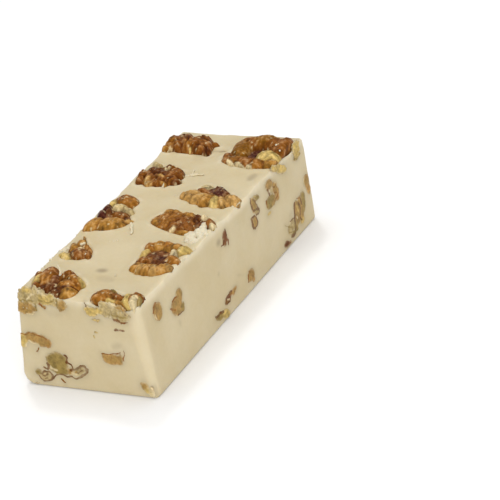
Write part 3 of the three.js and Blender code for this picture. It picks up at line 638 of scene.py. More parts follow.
# Specks and a thread of skin in the fudge
SPECKS = [
    Cut(
        "front",
        [(15.5, 25.1, 1.2, 0.75, 0, "umber"), (17.6, 25.4, 1.5, 0.65, 5, "rust"),
         (-20, 0.8, 0.8, 0.5, 0, "brown"), (6.7, 23, 0.9, 0.6, 20, "straw"),
         (5.6, 21.3, 0.6, 0.7, 0, "straw")],
    ),
    Cut(
        "top", [(-3.8, 47.8, 1.2, 0.5, 30, "bark"), (7.7, 34.5, 0.6, 0.5, 0, "umber")], (),
        [(0.35, "bark", [(-6.9, 44.9), (-6, 46.6), (-4.6, 47.6), (-2, 48.6), (0.5, 50.2)])],
    ),
    Cut(
        "left",
        [(-18, 17.4, 1, 0.6, 20, "umber"), (8.8, 15.4, 0.8, 0.7, 0, "straw"),
         (38.2, 8, 1.2, 0.6, -20, "rust"), (43.6, 14.6, 0.7, 0.7, 0, "straw")],
    ),
    Cut("back", [(-4.4, 20.6, 1.2, 0.6, 15, "rust"), (17.6, 9.4, 0.8, 0.7, 0, "straw")]),
]

# Crumbs torn out of the fudge: place, height of the middle above the top, and half size
CRUMBS = [
    (20.8, -7.6, 1.2, 1.1), (21.4, -9.2, 1, 1.4), (22.4, -11, 0.5, 1.5), (20.6, -11.4, 0.5, 1.6),
    (18.4, -12.8, 0.2, 1.5), (17, -13.6, 0, 1.2), (19.4, -14.2, 0.2, 1.7), (21.6, -13.4, 0.3, 1.7),
    (22.8, -14.4, 0, 1.3), (18.6, -15.8, 0, 1.5), (20.4, -16.2, 0, 1.6), (22, -16.6, -0.2, 1.4),
    (19.2, -17.6, -0.1, 1.2), (21, -18.2, -0.3, 1.1), (23.6, -11.8, 0, 1),
    (-11.9, -54.3, 2.5, 0.6), (-12, -54, 3.1, 0.6), (-12.2, -53.8, 3.7, 0.5), (-12.5, -53.6, 4.3, 0.45),
    (-12.9, -53.4, 4.8, 0.4), (-13.3, -53.2, 5.2, 0.3),
    (21.6, 49.7, 3.9, 0.45), (24, 47.4, 3, 0.4), (23.7, 8.6, 0.4, 0.6), (24.1, 9.6, 0.4, 0.7),
    (24.1, 10.8, 0.4, 0.7), (24.2, 12, 0.4, 0.7), (24.4, 13.4, 0.2, 0.6), (-11.8, -36.8, 1, 0.6),
    (-10.9, -36, 0.8, 0.5), (-16.9, -31.6, 1.7, 0.7), (-16.1, -31, 1.8, 0.6), (-22.6, -34.4, 0.3, 1),
    (-23.4, -36, 0.2, 0.9), (-21.4, -33.4, 0.4, 0.9), (-22, -35, 0.3, 0.8),
    (-9.3, 16.2, 0.1, 0.6), (-9.2, 16.6, 0.8, 0.5), (-9, 16.8, 1.5, 0.4), (-8.9, 16.9, 2.1, 0.3),
    (-10.3, 16.6, 0.1, 0.5), (5.2, -44.9, 0, 0.45), (-1.4, 11.8, 0, 0.5), (-8.7, -25.1, 0, 0.4),
    (-7.4, -24.7, 0, 0.35), (-6.2, -24.2, 0, 0.4), (-4.6, -23.1, 0, 0.35),
    (23.9, -21.7, -0.2, 0.9), (24.1, -23, -0.2, 0.7), (24.3, -24.2, -0.2, 0.6), (24.4, -29, -0.1, 0.6),
    (24.5, -30.2, -0.2, 0.6), (-24, -40.6, -0.1, 0.6), (-24.3, -42, -0.2, 0.7), (-24.2, -44.4, -0.2, 0.5),
    (-24, -46.4, -0.1, 0.6), (-24.4, -47.6, -0.3, 0.7), (-24.2, -20.4, -0.1, 0.6), (-24.4, -22, -0.2, 0.7),
]

# Grey where walnut shows faintly through the fudge, and one line of painted shade for a crack: side or top,
# place, half sizes, turn and strength
SMUDGES = [
    ("top", -1.4, -43.2, 2, 1.5, 20, 0.7), ("top", 3, -48, 3.6, 2.2, 0, 0.2),
    # the thin line at (-2.9, 49) on the top is painted shade standing for a hairline crack
    ("top", 20.4, 30.6, 1.5, 3, 0, 0.5), ("top", -2.9, 49, 2.6, 0.35, 32, 0.7),
    ("top", -6, 43, 4, 2.4, 20, 0.16), ("front", 14, 19, 2.4, 1.3, 20, 0.3),
    ("front", -10, 28, 4, 1.6, 0, 0.16), ("right", -7, 28.2, 1.6, 1.3, 0, 0.65),
    ("right", 45.4, 10.5, 2.2, 2.6, 0, 0.2), ("right", 2, 10, 2.6, 0.4, -30, 0.25),
    ("right", -11.4, 18, 0.5, 0.6, 0, 0.4), ("right", -41.2, 16, 0.7, 1.2, 0, 0.3),
    ("left", -40, 16.4, 2.4, 1.5, 20, 0.35), ("left", 23.4, 9, 2.8, 1.2, -20, 0.4),
    ("left", 41, 22.6, 1.6, 2.4, 0, 0.3), ("back", -17, 24, 2.6, 1.3, 15, 0.35),
]


# Small helpers
def smoothstep(value, low, high):
    """0 below low and 1 above high, with a soft slope between."""
    share = np.clip((value - low) / (high - low), 0, 1)
    return share * share * (3 - 2 * share)


def bell(value, middle, width):
    """1 at the middle, falling softly to 0 on both sides."""
    return np.exp(-((value - middle) / width) ** 2)


def smooth_highest(heights, sharpness):
    """The highest of several surfaces, with soft valleys where they meet."""
    top = heights.max(axis=0)
    return top + np.log(np.exp(sharpness * (heights - top)).sum(axis=0)) / sharpness


def bumps(points, size, seed):
    """Smooth noise between about -1 and 1 at each point, with swellings of that size."""
    offset = Vector([step * seed for step in SEED_STEPS])
    return np.array([noise.noise(Vector(point) / size + offset) for point in points])


def layers(points, kinds):
    """Bumps laid over each other, each kind with its depth, size and seed."""
    return sum(depth * bumps(points, size, seed) for depth, size, seed in kinds)


def flat_places(u, v):
    return np.stack([u, v, np.zeros_like(u)], axis=1)


def hand_cut(points):
    """Points of the true box moved to where the uneven, rippled bar has them."""
    along = points[:, 1] / LENGTH + 0.5
    across = points[:, 0] / WIDTH + 0.5
    up = points[:, 2] / HEIGHT
    shift = np.zeros_like(points)
    for end, end_share in enumerate((1 - along, along)):
        for level, level_share in enumerate((1 - up, up)):
            for side, side_share in enumerate((1 - across, across)):
                share = end_share * level_share * side_share
                shift += share[:, None] * CORNER_SHIFT[end][level][side]
    roll = np.sin((points[:, 1] + ROLL_SLANT * points[:, 0]) * 2 * math.pi / ROLL_LENGTH)
    roll += np.cos(points[:, 0] / CROSS_ROLL[0] - points[:, 1] / CROSS_ROLL[1])
    shift[:, 2] += RIPPLE * smoothstep(up, 0.8, 1) * roll / 2
    return points + shift


def get_vectors(obj, kind):
    flat = np.empty(3 * len(obj.data.vertices))
    obj.data.vertices.foreach_get(kind, flat)
    return flat.reshape(-1, 3)


def get_points(obj):
    return get_vectors(obj, "co")


def set_points(obj, points):
    obj.data.vertices.foreach_set("co", np.ascontiguousarray(points).ravel())
    obj.data.update()


def push_out(obj, distance):
    """Each point moved out of the surface by its own distance."""
    set_points(obj, get_points(obj) + get_vectors(obj, "normal") * distance[:, None])


def paint_share(obj, name, shares):
    layer = obj.data.attributes.new(name, "FLOAT", "POINT")
    layer.data.foreach_set("value", np.ascontiguousarray(shares, dtype=np.float32))


def paint_colour(obj, name, colours):
    layer = obj.data.attributes.new(name, "FLOAT_COLOR", "POINT")
    full = np.ones((len(colours), 4), dtype=np.float32)
    full[:, :3] = colours
    layer.data.foreach_set("color", full.ravel())


def toned(tone, name, share):
    """A colour laid over others in that share."""
    return tone + share[:, None] * (np.array(linear(name)) - tone)


def apply_modifier(obj, kind, **settings):
    bpy.context.view_layer.objects.active = obj
    modifier = obj.modifiers.new(kind.title(), kind)
    for name, value in settings.items():
        setattr(modifier, name, value)
    bpy.ops.object.modifier_apply(modifier=modifier.name)


def join(parts, name):
    bpy.ops.object.select_all(action="DESELECT")
    for part in parts:
        part.select_set(True)
    bpy.context.view_layer.objects.active = parts[0]
    if len(parts) > 1:
        bpy.ops.object.join()
    whole = bpy.context.view_layer.objects.active
    whole.name = name
    whole.data.name = name
    bpy.ops.object.transform_apply(location=True, rotation=True, scale=True)
    return whole


def start_picking(kind):
    """Lets go of everything in the mesh, so that faces or edges can be picked in code."""
    bpy.ops.object.mode_set(mode="EDIT")
    bpy.ops.mesh.select_mode(type=kind)
    bpy.ops.mesh.select_all(action="DESELECT")
    bpy.ops.object.mode_set(mode="OBJECT")


def neighbour_mean(obj, values, rounds):
    """Values averaged over the mesh's edges again and again."""
    ends = np.empty(2 * len(obj.data.edges), dtype=np.int64)
    obj.data.edges.foreach_get("vertices", ends)
    first, second = ends[0::2], ends[1::2]
    count = len(values)
    degree = np.maximum(np.bincount(ends, minlength=count), 1)
    for _ in range(rounds):
        total = np.bincount(first, values[second], count) + np.bincount(second, values[first], count)
        values = total / degree
    return values


def ellipse_distance(u, v, spot):
    """About the distance outside an ellipse of [u, v, half width, half height, turn]."""
    u0, v0, wide, tall, degrees = spot[:5]
    turn = math.radians(degrees)
    across = (u - u0) * math.cos(turn) + (v - v0) * math.sin(turn)
    up = (v - v0) * math.cos(turn) - (u - u0) * math.sin(turn)
    reach = np.hypot(across / wide, up / tall)
    slope = np.hypot(across / wide ** 2, up / tall ** 2)
    return reach * (reach - 1) / np.maximum(slope, TINY)


def line_distance(points, u, v):
    """Distance to a bent line through the points."""
    nearest = np.full(len(u), np.inf)
    for (u0, v0), (u1, v1) in zip(points, points[1:]):
        run = (u1 - u0) ** 2 + (v1 - v0) ** 2
        share = np.clip(((u - u0) * (u1 - u0) + (v - v0) * (v1 - v0)) / run, 0, 1)
        nearest = np.minimum(nearest, np.hypot(u - u0 - share * (u1 - u0), v - v0 - share * (v1 - v0)))
    return nearest


def cut_distance(cut, u, v):
    """About the distance outside a cut piece's outline."""
    distance = np.min([ellipse_distance(u, v, spot) for spot in cut.spots], axis=0)
    for bite in cut.bites:
        distance = np.maximum(distance, -ellipse_distance(u, v, bite))
    for half_width, _, points in cut.strands:
        distance = np.minimum(distance, line_distance(points, u, v) - half_width)
    return distance


def unevenly(u, v):
    """Places pushed about a little, so that outlines drawn with them come out irregular."""
    places = flat_places(u, v)
    return u + layers(places, OUTLINE_PUSH["u"]), v + layers(places, OUTLINE_PUSH["v"])


def frayed_distance(cut, u, v, rough):
    """About the distance outside a cut piece's outline, with a frayed edge."""
    fray = FRAY * rough * bumps(flat_places(u, v), size=0.9, seed=34)
    return cut_distance(cut, *unevenly(u, v)) + fray


def side_frame(side):
    """The middle of a side's foot, the way to the viewer's right, and the way out."""
    at, right = SIDES[side]["at"], SIDES[side]["right"]
    return at, right, (right[1], -right[0])


def on_side(side, u, v, out):
    """Points of a side, or of the top, from its own u and v, standing out by that much."""
    if side == "top":
        return np.stack([u, v, HEIGHT + out], axis=1)
    at, right, outward = side_frame(side)
    x = at[0] + u * right[0] + out * outward[0]
    y = at[1] + u * right[1] + out * outward[1]
    return np.stack([x, y, v], axis=1)


def finish_piece(obj, node, material):
    """Set out of true with the bar, brought to metres and handed over to the frame."""
    set_points(obj, (hand_cut(get_points(obj)) + ORIGIN_SHIFT) * MM)
    obj.data.materials.clear()
    obj.data.materials.append(material)
    bpy.ops.object.select_all(action="DESELECT")
    obj.select_set(True)
    bpy.context.view_layer.objects.active = obj
    bpy.ops.object.shade_smooth()
    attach(obj, "root")
    if node:
        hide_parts(node)


# Materials
MIX_INPUTS = (0, 6, 7)  # a Mix node's share and its two colours
MIX_OUTPUT = 2
NOISE_REACH = (0.3, 0.7)  # nearly all of a noise texture lies between these


def new_material(name):
    material = bpy.data.materials.new(name)
    material.use_nodes = True
    return material, material.node_tree, material.node_tree.nodes["Principled BSDF"]


def object_places(tree):
    return tree.nodes.new("ShaderNodeTexCoord").outputs["Object"]


def noise_node(tree, places, scale, detail):
    texture = tree.nodes.new("ShaderNodeTexNoise")
    texture.inputs["Scale"].default_value = scale
    texture.inputs["Detail"].default_value = detail
    tree.links.new(places, texture.inputs["Vector"])
    return texture.outputs["Fac"]


def spread(tree, source, low, high, out_low=0.0, out_high=1.0):
    stretch = tree.nodes.new("ShaderNodeMapRange")
    stretch.inputs["From Min"].default_value = low
    stretch.inputs["From Max"].default_value = high
    stretch.inputs["To Min"].default_value = out_low
    stretch.inputs["To Max"].default_value = out_high
    tree.links.new(source, stretch.inputs["Value"])
    return stretch.outputs["Result"]


def blend_colours(tree, share, first, second, kind="MIX"):
    mix = tree.nodes.new("ShaderNodeMix")
    mix.data_type = "RGBA"
    mix.blend_type = kind
    for number, value in zip(MIX_INPUTS, (share, first, second)):
        socket = mix.inputs[number]
        if isinstance(value, bpy.types.NodeSocket):
            tree.links.new(value, socket)
        elif isinstance(value, (list, tuple)):
            socket.default_value = (*value, 1)
        else:
            socket.default_value = value
    return mix.outputs[MIX_OUTPUT]


def attribute(tree, name, output):
    node = tree.nodes.new("ShaderNodeAttribute")
    node.attribute_name = name
    return node.outputs[output]


def add_bump(tree, shader, height, strength, distance):
    bump = tree.nodes.new("ShaderNodeBump")
    bump.inputs["Strength"].default_value = strength
    bump.inputs["Distance"].default_value = distance
    tree.links.new(height, bump.inputs["Height"])
    tree.links.new(bump.outputs["Normal"], shader.inputs["Normal"])


def fudge_material(name, light, warm):
    """Waxy fudge, cloudy between two colours, with a painted highlight paler along its edges and lips, and
    grey where stained.
    """
    material, tree, shader = new_material(name)
    places = object_places(tree)
    clouds = spread(tree, noise_node(tree, places, scale=70, detail=4), 0.35, 0.65)
    colour = blend_colours(tree, clouds, linear(light), linear(warm))
    grain = spread(tree, noise_node(tree, places, scale=900, detail=3), *NOISE_REACH, 0.985, 1.015)
    colour = blend_colours(tree, 1.0, colour, grain, "MULTIPLY")
    # painted highlight: paler along the edges and the lips around the halves
    painted_highlight = spread(tree, attribute(tree, "painted_highlight", "Fac"), 0, 1, 0, 0.8)
    colour = blend_colours(tree, painted_highlight, colour, linear("pale"))
    colour = blend_colours(tree, attribute(tree, "stain", "Fac"), colour, linear("smudge"))
    tree.links.new(colour, shader.inputs["Base Color"])
    shader.inputs["Roughness"].default_value = 0.5
    shader.inputs["Specular IOR Level"].default_value = 0.2
    shader.inputs["Subsurface Weight"].default_value = 0.25
    shader.inputs["Subsurface Radius"].default_value = (1.0, 0.7, 0.4)
    shader.inputs["Subsurface Scale"].default_value = 0.0015
    grit = noise_node(tree, places, scale=260, detail=2)
    add_bump(tree, shader, grit, strength=0.1, distance=0.0002)
    return material


def walnut_material(name, patch_scale, patch_low, patch_high):
    """Walnut in its painted tones, in patches a little darker and lighter."""
    material, tree, shader = new_material(name)
    places = object_places(tree)
    patches = noise_node(tree, places, patch_scale, detail=4)
    patches = spread(tree, patches, *NOISE_REACH, patch_low, patch_high)
    colour = blend_colours(tree, 1.0, attribute(tree, "tone", "Color"), patches, "MULTIPLY")
    tree.links.new(colour, shader.inputs["Base Color"])
    return material, tree, shader, places


def skin_material():
    material, tree, shader, places = walnut_material("walnut_skin", 1500, 0.85, 1.15)
    gloss = spread(tree, noise_node(tree, places, scale=600, detail=3), *NOISE_REACH, 0.24, 0.45)
    tree.links.new(gloss, shader.inputs["Roughness"])
    shader.inputs["Specular IOR Level"].default_value = 0.1
    grit = noise_node(tree, places, scale=900, detail=5)
    add_bump(tree, shader, grit, strength=0.3, distance=0.0004)
    return material


def flesh_material():
    material, tree, shader, places = walnut_material("walnut_flesh", 420, 0.84, 1.14)
    shader.inputs["Roughness"].default_value = 0.45
    shader.inputs["Specular IOR Level"].default_value = 0.12
    grit = noise_node(tree, places, scale=1200, detail=4)
    add_bump(tree, shader, grit, strength=0.2, distance=0.0003)
    return material


FUDGE = fudge_material("fudge", "fudge", "fudge_warm")
TORN = fudge_material("torn_fudge", "torn", "fudge")
FLAKE = fudge_material("fudge_flake", "pale", "fudge")
SKIN = skin_material()
FLESH = flesh_material()


# The block of fudge
def bevel_edges(obj, wanted, width, segments):
    """Bevels the edges that are wanted for their middle and for their run along x, y and z."""
    start_picking("EDGE")
    points = get_points(obj)
    for edge in obj.data.edges:
        start, end = points[edge.vertices[0]], points[edge.vertices[1]]
        edge.select = bool(wanted((start + end) / 2, np.abs(end - start)))
    bpy.ops.object.mode_set(mode="EDIT")
    bpy.ops.mesh.bevel(offset=width, segments=segments, affect="EDGES")
    bpy.ops.object.mode_set(mode="OBJECT")


def tray_edge(mid, run):
    return run[1] > LENGTH / 2 and mid[2] < ON_SIDE and mid[0] < 0


def top_edge(mid, run):
    return run[1] > LENGTH / 2 and mid[2] > HEIGHT - ON_SIDE


def base_edge(mid, run):
    return run[1] > LENGTH / 2 and mid[2] < ON_SIDE and mid[0] > WIDTH / 2 - ON_SIDE


def end_edge(mid, run):
    return run[1] < ON_SIDE and abs(mid[1]) > LENGTH / 2 - ON_SIDE


def make_block():
    bpy.ops.mesh.primitive_cube_add(size=1, location=(0, 0, HEIGHT / 2), scale=(WIDTH, LENGTH, HEIGHT))
    block = bpy.context.object
    bpy.ops.object.transform_apply(location=True, rotation=True, scale=True)
    bevel_edges(block, tray_edge, TRAY_EDGE, segments=8)
    bevel_edges(block, top_edge, TOP_EDGE, segments=4)
    bevel_edges(block, base_edge, BASE_EDGE, segments=2)
    bevel_edges(block, end_edge, END_EDGE, segments=2)
    apply_modifier(block, "REMESH", mode="VOXEL", voxel_size=BLOCK_GRAIN)
    block = join([block], "fudge")
    points = wear_corner(get_points(block))
    set_points(block, points)
    out = get_vectors(block, "normal")
    painted_highlight = edge_highlights(block, points, out)
    patchy = smoothstep(bumps(points, size=4, seed=29), -0.1, 0.4)
    on_top = smoothstep(points[:, 2], HEIGHT - 1.2, HEIGHT - 0.4)
    uneven, wander = side_swell(points)
    points = points + out * uneven[:, None]
    points[:, :2] += out[:, :2] * wander[:, None]
    smeared = smoothstep(points[:, 0], 21, 24) * (0.45 + 0.55 * bumps(points, size=5, seed=27))
    points[:, 2] += SMEAR * on_top * smeared
    for name, lobes in HALVES.items():
        gap = half_gap([*BODIES[name], *lobes], points[:, 0], points[:, 1])
        lip = LIP * bell(gap, 0.5, 1.5) * smoothstep(gap, -0.6, 0.1)
        pocket = np.clip(-POCKET_SLOPE * (gap + 0.5), 0, POCKET_DEPTH)
        points[:, 2] += on_top * (lip - pocket)
        # painted highlight on the fudge lip standing up around each half
        painted_highlight = np.maximum(painted_highlight, LIP_HIGHLIGHT * on_top * patchy * bell(gap, 0.6, 0.7))
    set_points(block, points)
    paint_share(block, "stain", stain_of(points))
    paint_share(block, "painted_highlight", np.clip(painted_highlight, 0, 1))
    return block


def edge_highlights(block, points, out):
    """Painted highlight: how pale each place is painted where the light catches it, the sides' top edges
    most, the top itself hardly.
    """
    upright = np.abs(out[:, 0] * out[:, 1])
    sloping = np.hypot(out[:, 0], out[:, 1]) * np.abs(out[:, 2])
    near_edge = neighbour_mean(block, UPRIGHT_HIGHLIGHT * upright + TOP_HIGHLIGHT * sloping, HIGHLIGHT_SPREAD)
    above_base = smoothstep(points[:, 2], 1, 5)
    patches = 1 + 0.5 * bumps(points, size=6, seed=28)
    off_top = 1 - 0.8 * smoothstep(out[:, 2], 0.75, 0.98)
    return HIGHLIGHT_STRENGTH * near_edge * above_base * patches * off_top


def side_swell(points):
    """How far the fudge swells out of the true box, and how far its top edges wander sideways."""
    above_base = smoothstep(points[:, 2], 0.3, 2)
    near_top = smoothstep(points[:, 2], HEIGHT - 4, HEIGHT - 0.5)
    return above_base * layers(points, BLOCK_SWELL), near_top * layers(points, EDGE_WANDER)


def wear_corner(points):
    """The square upright corner at the front right rounded off, more at its head."""
    up = points[:, 2] / HEIGHT
    radius = BLUNT_CORNER["foot"] + (BLUNT_CORNER["head"] - BLUNT_CORNER["foot"]) * up
    middle_x = WIDTH / 2 - radius
    middle_y = -LENGTH / 2 + radius
    away_x, away_y = points[:, 0] - middle_x, points[:, 1] - middle_y
    worn = (away_x > 0) & (away_y < 0)
    powers = np.abs(away_x) ** CORNER_FLATNESS + np.abs(away_y) ** CORNER_FLATNESS
    reach = powers ** (1 / CORNER_FLATNESS)
    pull = np.where(worn, np.minimum(1, radius / np.maximum(reach, TINY)), 1)
    moved = points.copy()
    moved[:, 0] = np.where(worn, middle_x + away_x * pull, points[:, 0])
    moved[:, 1] = np.where(worn, middle_y + away_y * pull, points[:, 1])
    return moved


def stain_of(points):
    """How grey each place of the block is from walnut in it or just under it."""
    stain = np.zeros(len(points))
    skin_depth = 1.5
    faces = {"top": (points[:, 0], points[:, 1], points[:, 2] > HEIGHT - skin_depth)}
    for side in SIDES:
        at, right, outward = side_frame(side)
        u = (points[:, 0] - at[0]) * right[0] + (points[:, 1] - at[1]) * right[1]
        depth = -(points[:, 0] - at[0]) * outward[0] - (points[:, 1] - at[1]) * outward[1]
        faces[side] = (u, points[:, 2], depth < skin_depth)
    for cut in [*CUTS.values(), *(cut for cuts in HALF_CUTS.values() for cut in cuts)]:
        u, v, there = faces[cut.side]
        gap = np.maximum(cut_distance(cut, u, v), 0)
        stain = np.maximum(stain, there * CUT_STAIN * np.exp(-gap ** 1.3))
    for face, u0, v0, wide, tall, turn, strength in SMUDGES:
        u, v, there = faces[face]
        gap = ellipse_distance(u, v, (u0, v0, wide, tall, turn))
        stain = np.maximum(stain, there * strength * smoothstep(-gap, -1, 1.2))
    return stain


# Flat sheets that the walnut pieces are raised out of
def add_sheet(name, low, high, grain):
    """A flat grid between two corners."""
    wide, tall = high[0] - low[0], high[1] - low[1]
    bpy.ops.mesh.primitive_grid_add(
        x_subdivisions=round(wide / grain), y_subdivisions=round(tall / grain),
        size=1, location=((low[0] + high[0]) / 2, (low[1] + high[1]) / 2, 0),
    )
    bpy.ops.transform.resize(value=(wide, tall, 1))
    return join([bpy.context.object], name)


def keep_inside(sheet, distance):
    """Takes away what lies outside an outline, and evens out the rim."""
    start_picking("FACE")
    centres = np.array([face.center for face in sheet.data.polygons])
    sheet.data.polygons.foreach_set("select", distance(centres[:, 0], centres[:, 1]) > 0)
    bpy.ops.object.mode_set(mode="EDIT")
    bpy.ops.mesh.delete(type="FACE")
    bpy.ops.mesh.select_all(action="SELECT")
    bpy.ops.mesh.region_to_loop()
    bpy.ops.mesh.vertices_smooth(factor=0.5, repeat=3)
    bpy.ops.object.mode_set(mode="OBJECT")


# The walnut halves
def half_gap(lobes, x, y):
    """About the distance outside a half's outline, where the lobes' own outlines melt into one."""
    gaps = [ellipse_distance(x, y, (lobe.x, lobe.y, lobe.long, lobe.wide, lobe.turn)) for lobe in lobes]
    return -smooth_highest(-np.array(gaps), OUTLINE_MELT)


def make_half(name):
    """A half is a relief raised out of a flat sheet that is cut to its outline."""
    lobes = [*BODIES[name], *HALVES[name]]

    def outside(x, y):
        beyond = np.maximum(np.abs(x) - WIDTH / 2, np.abs(y) - LENGTH / 2) - TRIM
        places = np.stack([x, y, np.full_like(x, HEIGHT)], axis=1)
        worn = np.abs(wear_corner(places) - places).max(axis=1) - TRIM
        return np.max([half_gap(lobes, x, y), beyond, worn], axis=0)

    low = [min(lobe[axis] - lobe.long for lobe in lobes) - HALF_MARGIN for axis in range(2)]
    high = [max(lobe[axis] + lobe.long for lobe in lobes) + HALF_MARGIN for axis in range(2)]
    sheet = add_sheet(name, low, high, NUT_GRAIN)
    keep_inside(sheet, outside)
    rise, tone = half_relief(name, lobes, get_points(sheet))
    paint_share(sheet, "rise", rise)
    paint_colour(sheet, "tone", tone)
    apply_modifier(sheet, "SOLIDIFY", thickness=HALF_SUNK, offset=-1)
    points = get_points(sheet)
    sunk = points[:, 2] < -HALF_SUNK / 2
    rise = np.empty(len(points), dtype=np.float32)
    sheet.data.attributes["rise"].data.foreach_get("value", rise)
    points[:, 2] = HEIGHT + np.where(sunk, -HALF_SUNK, rise)
    for axis, size in enumerate((WIDTH, LENGTH)):
        limit = size / 2 - ROOT_INSET
        points[sunk, axis] = np.clip(points[sunk, axis], -limit, limit)
    set_points(sheet, wear_corner(points))
    return sheet


def lobe_surfaces(name, lobes, points):
    """How high each lobe alone would stand at each point, and the streaks along it."""
    bend = BENDS.get(name, PLAIN_BEND)
    bent_x = points[:, 0] + layers(points, [(bend, 2.8, 11), (0.25, 1.1, 12)])
    bent_y = points[:, 1] + layers(points, [(bend, 2.8, 13), (0.25, 1.1, 14)])
    heights, streaks = [], []
    for number, lobe in enumerate(lobes):
        turn = math.radians(lobe.turn)
        east, north = bent_x - lobe.x, bent_y - lobe.y
        along = east * math.cos(turn) + north * math.sin(turn)
        across = north * math.cos(turn) - east * math.sin(turn)
        reach = np.hypot(along / lobe.long, across / lobe.wide) / LOBE_SPREAD
        heights.append(lobe.top - (lobe.top + LOBE_FOOT) * reach ** 3)
        fibres = np.stack([along / FIBRE_LENGTH, across, np.full_like(along, FIBRE_STEP * number)], axis=1)
        streaks.append(bumps(fibres, FIBRE_WIDTH, seed=3))
    return np.array(heights), np.array(streaks)


def half_relief(name, lobes, points):
    """How high a half stands above the fudge, and its colour, at each point."""
    heights, streaks = lobe_surfaces(name, lobes, points)
    bodies = len(BODIES[name])
    showing = heights.copy()
    showing[:bodies] -= BODY_SUNK
    share = np.exp(COLOUR_MELT * (showing - showing.max(axis=0)))
    share /= share.sum(axis=0)
    streak = STREAKS.get(name, PLAIN_STREAKS) * (share * streaks).sum(axis=0)

    ranked = np.sort(heights[bodies:], axis=0)
    patchy = smoothstep(bumps(points, size=1.7, seed=15), -0.6, 0.3)
    groove = bell(ranked[-1], ranked[-2], GROOVE_WIDTH) * (0.35 + 0.65 * patchy)
    groove *= smoothstep(ranked[-1] - heights[:bodies].max(axis=0), -1.4, -0.6)
    fold_size, fold_depth = FOLDS.get(name, PLAIN_FOLDS)
    fold = bell(layers(points, [(1, fold_size, 5), (0.45, fold_size / 2, 6)]), 0, FOLD_WIDTH)
    swell = bumps(points, size=2, seed=0)
    wrinkle = bumps(points, size=1, seed=1)
    rise = smooth_highest(heights, RELIEF_MELT) - GROOVE_DEPTH * groove - fold_depth * fold
    rise += SKIN_SWELL * swell + SKIN_WRINKLE * wrinkle + STREAK_DEPTH * streak
    gap = half_gap(lobes, points[:, 0], points[:, 1])
    inward = np.clip(-gap / RIM_WIDTHS.get(name, PLAIN_RIM_WIDTH), 0, 1)
    rim = RIM_HEIGHT * inward ** RIM_ROUND - RIM_SUNK
    rise = -smooth_highest(np.array([-rise, -rim]), RELIEF_MELT)

    tone = share.T @ np.array([linear(lobe.colour) for lobe in lobes])
    # Painted light and shade: lighter on the wrinkles' crests and darker in their hollows; the brightest
    # places also turn toward cream
    mottle = 1 + layers(points, SKIN_MOTTLE) + STREAK_TONE * streak + WRINKLE_SHADING * wrinkle
    tone *= np.clip(mottle, 0.3, 1.45)[:, None]
    tone = toned(tone, "cream", 0.6 * np.clip(mottle - 1.1, 0, 0.8))
    chips = smoothstep(layers(points, SKIN_CHIPS), 0.48, 0.62) * (1 - groove)
    tone = toned(tone, "cream", CHIP_SHARE * chips)
    # Painted shade: darker in the grooves and folds of the skin, and along the half's foot at the fudge
    painted_shade = np.clip(CREASE_SHADE_SHARE * (groove + min(1, 1.4 * fold_depth) * fold), 0, 0.95)
    painted_shade = np.maximum(painted_shade, RIM_SHADE * smoothstep(gap, -0.8, -0.1) * (0.1 + 0.9 * patchy))
    return rise, tone * (1 - painted_shade[:, None] * CREASE_SHADE)


# The cut pieces
def make_cut(name, cut, proud=PROUD, depth=CUT_DEPTH, rough=CUT_ROUGH):
    """A piece is raised out of a flat sheet, thickened inwards and set on its side of the bar."""
    far = LENGTH / 2 if cut.side in ("left", "right", "top") else WIDTH / 2

    def outside(u, v):
        return np.maximum(frayed_distance(cut, u, v, rough), np.abs(u) - far)

    bends = [point for _, _, points in cut.strands for point in points]
    low, high = [], []
    for axis in range(2):
        reached = [point[axis] for point in bends]
        reached += [spot[axis] + sign * max(spot[2:4]) for spot in cut.spots for sign in (-1, 1)]
        low.append(min(reached) - CUT_MARGIN)
        high.append(max(reached) + CUT_MARGIN)
    sheet = add_sheet(name, low, high, CUT_GRAIN)
    keep_inside(sheet, outside)
    points = get_points(sheet)
    gap = frayed_distance(cut, points[:, 0], points[:, 1], rough)
    crown = proud + rough * layers(points, CUT_CRAGS)
    points[:, 2] = crown - (proud + RIM_DROP) * smoothstep(gap, -0.25, 0.1)
    set_points(sheet, points)
    paint_cut(sheet, cut, points[:, 0], points[:, 1], gap)
    apply_modifier(sheet, "SOLIDIFY", thickness=depth, offset=-1)
    points = get_points(sheet)
    uneven, wander = side_swell(on_side(cut.side, points[:, 0], points[:, 1], np.zeros(len(points))))
    points[:, 2] += uneven if cut.side == "top" else uneven + wander
    inner = points[:, 2] < -depth / 2
    middle = points[:, :2].mean(axis=0)
    points[inner, :2] = middle + (points[inner, :2] - middle) * (1 + CUT_TAPER) / 2
    set_points(sheet, on_side(cut.side, points[:, 0], points[:, 1], points[:, 2]))
    return sheet


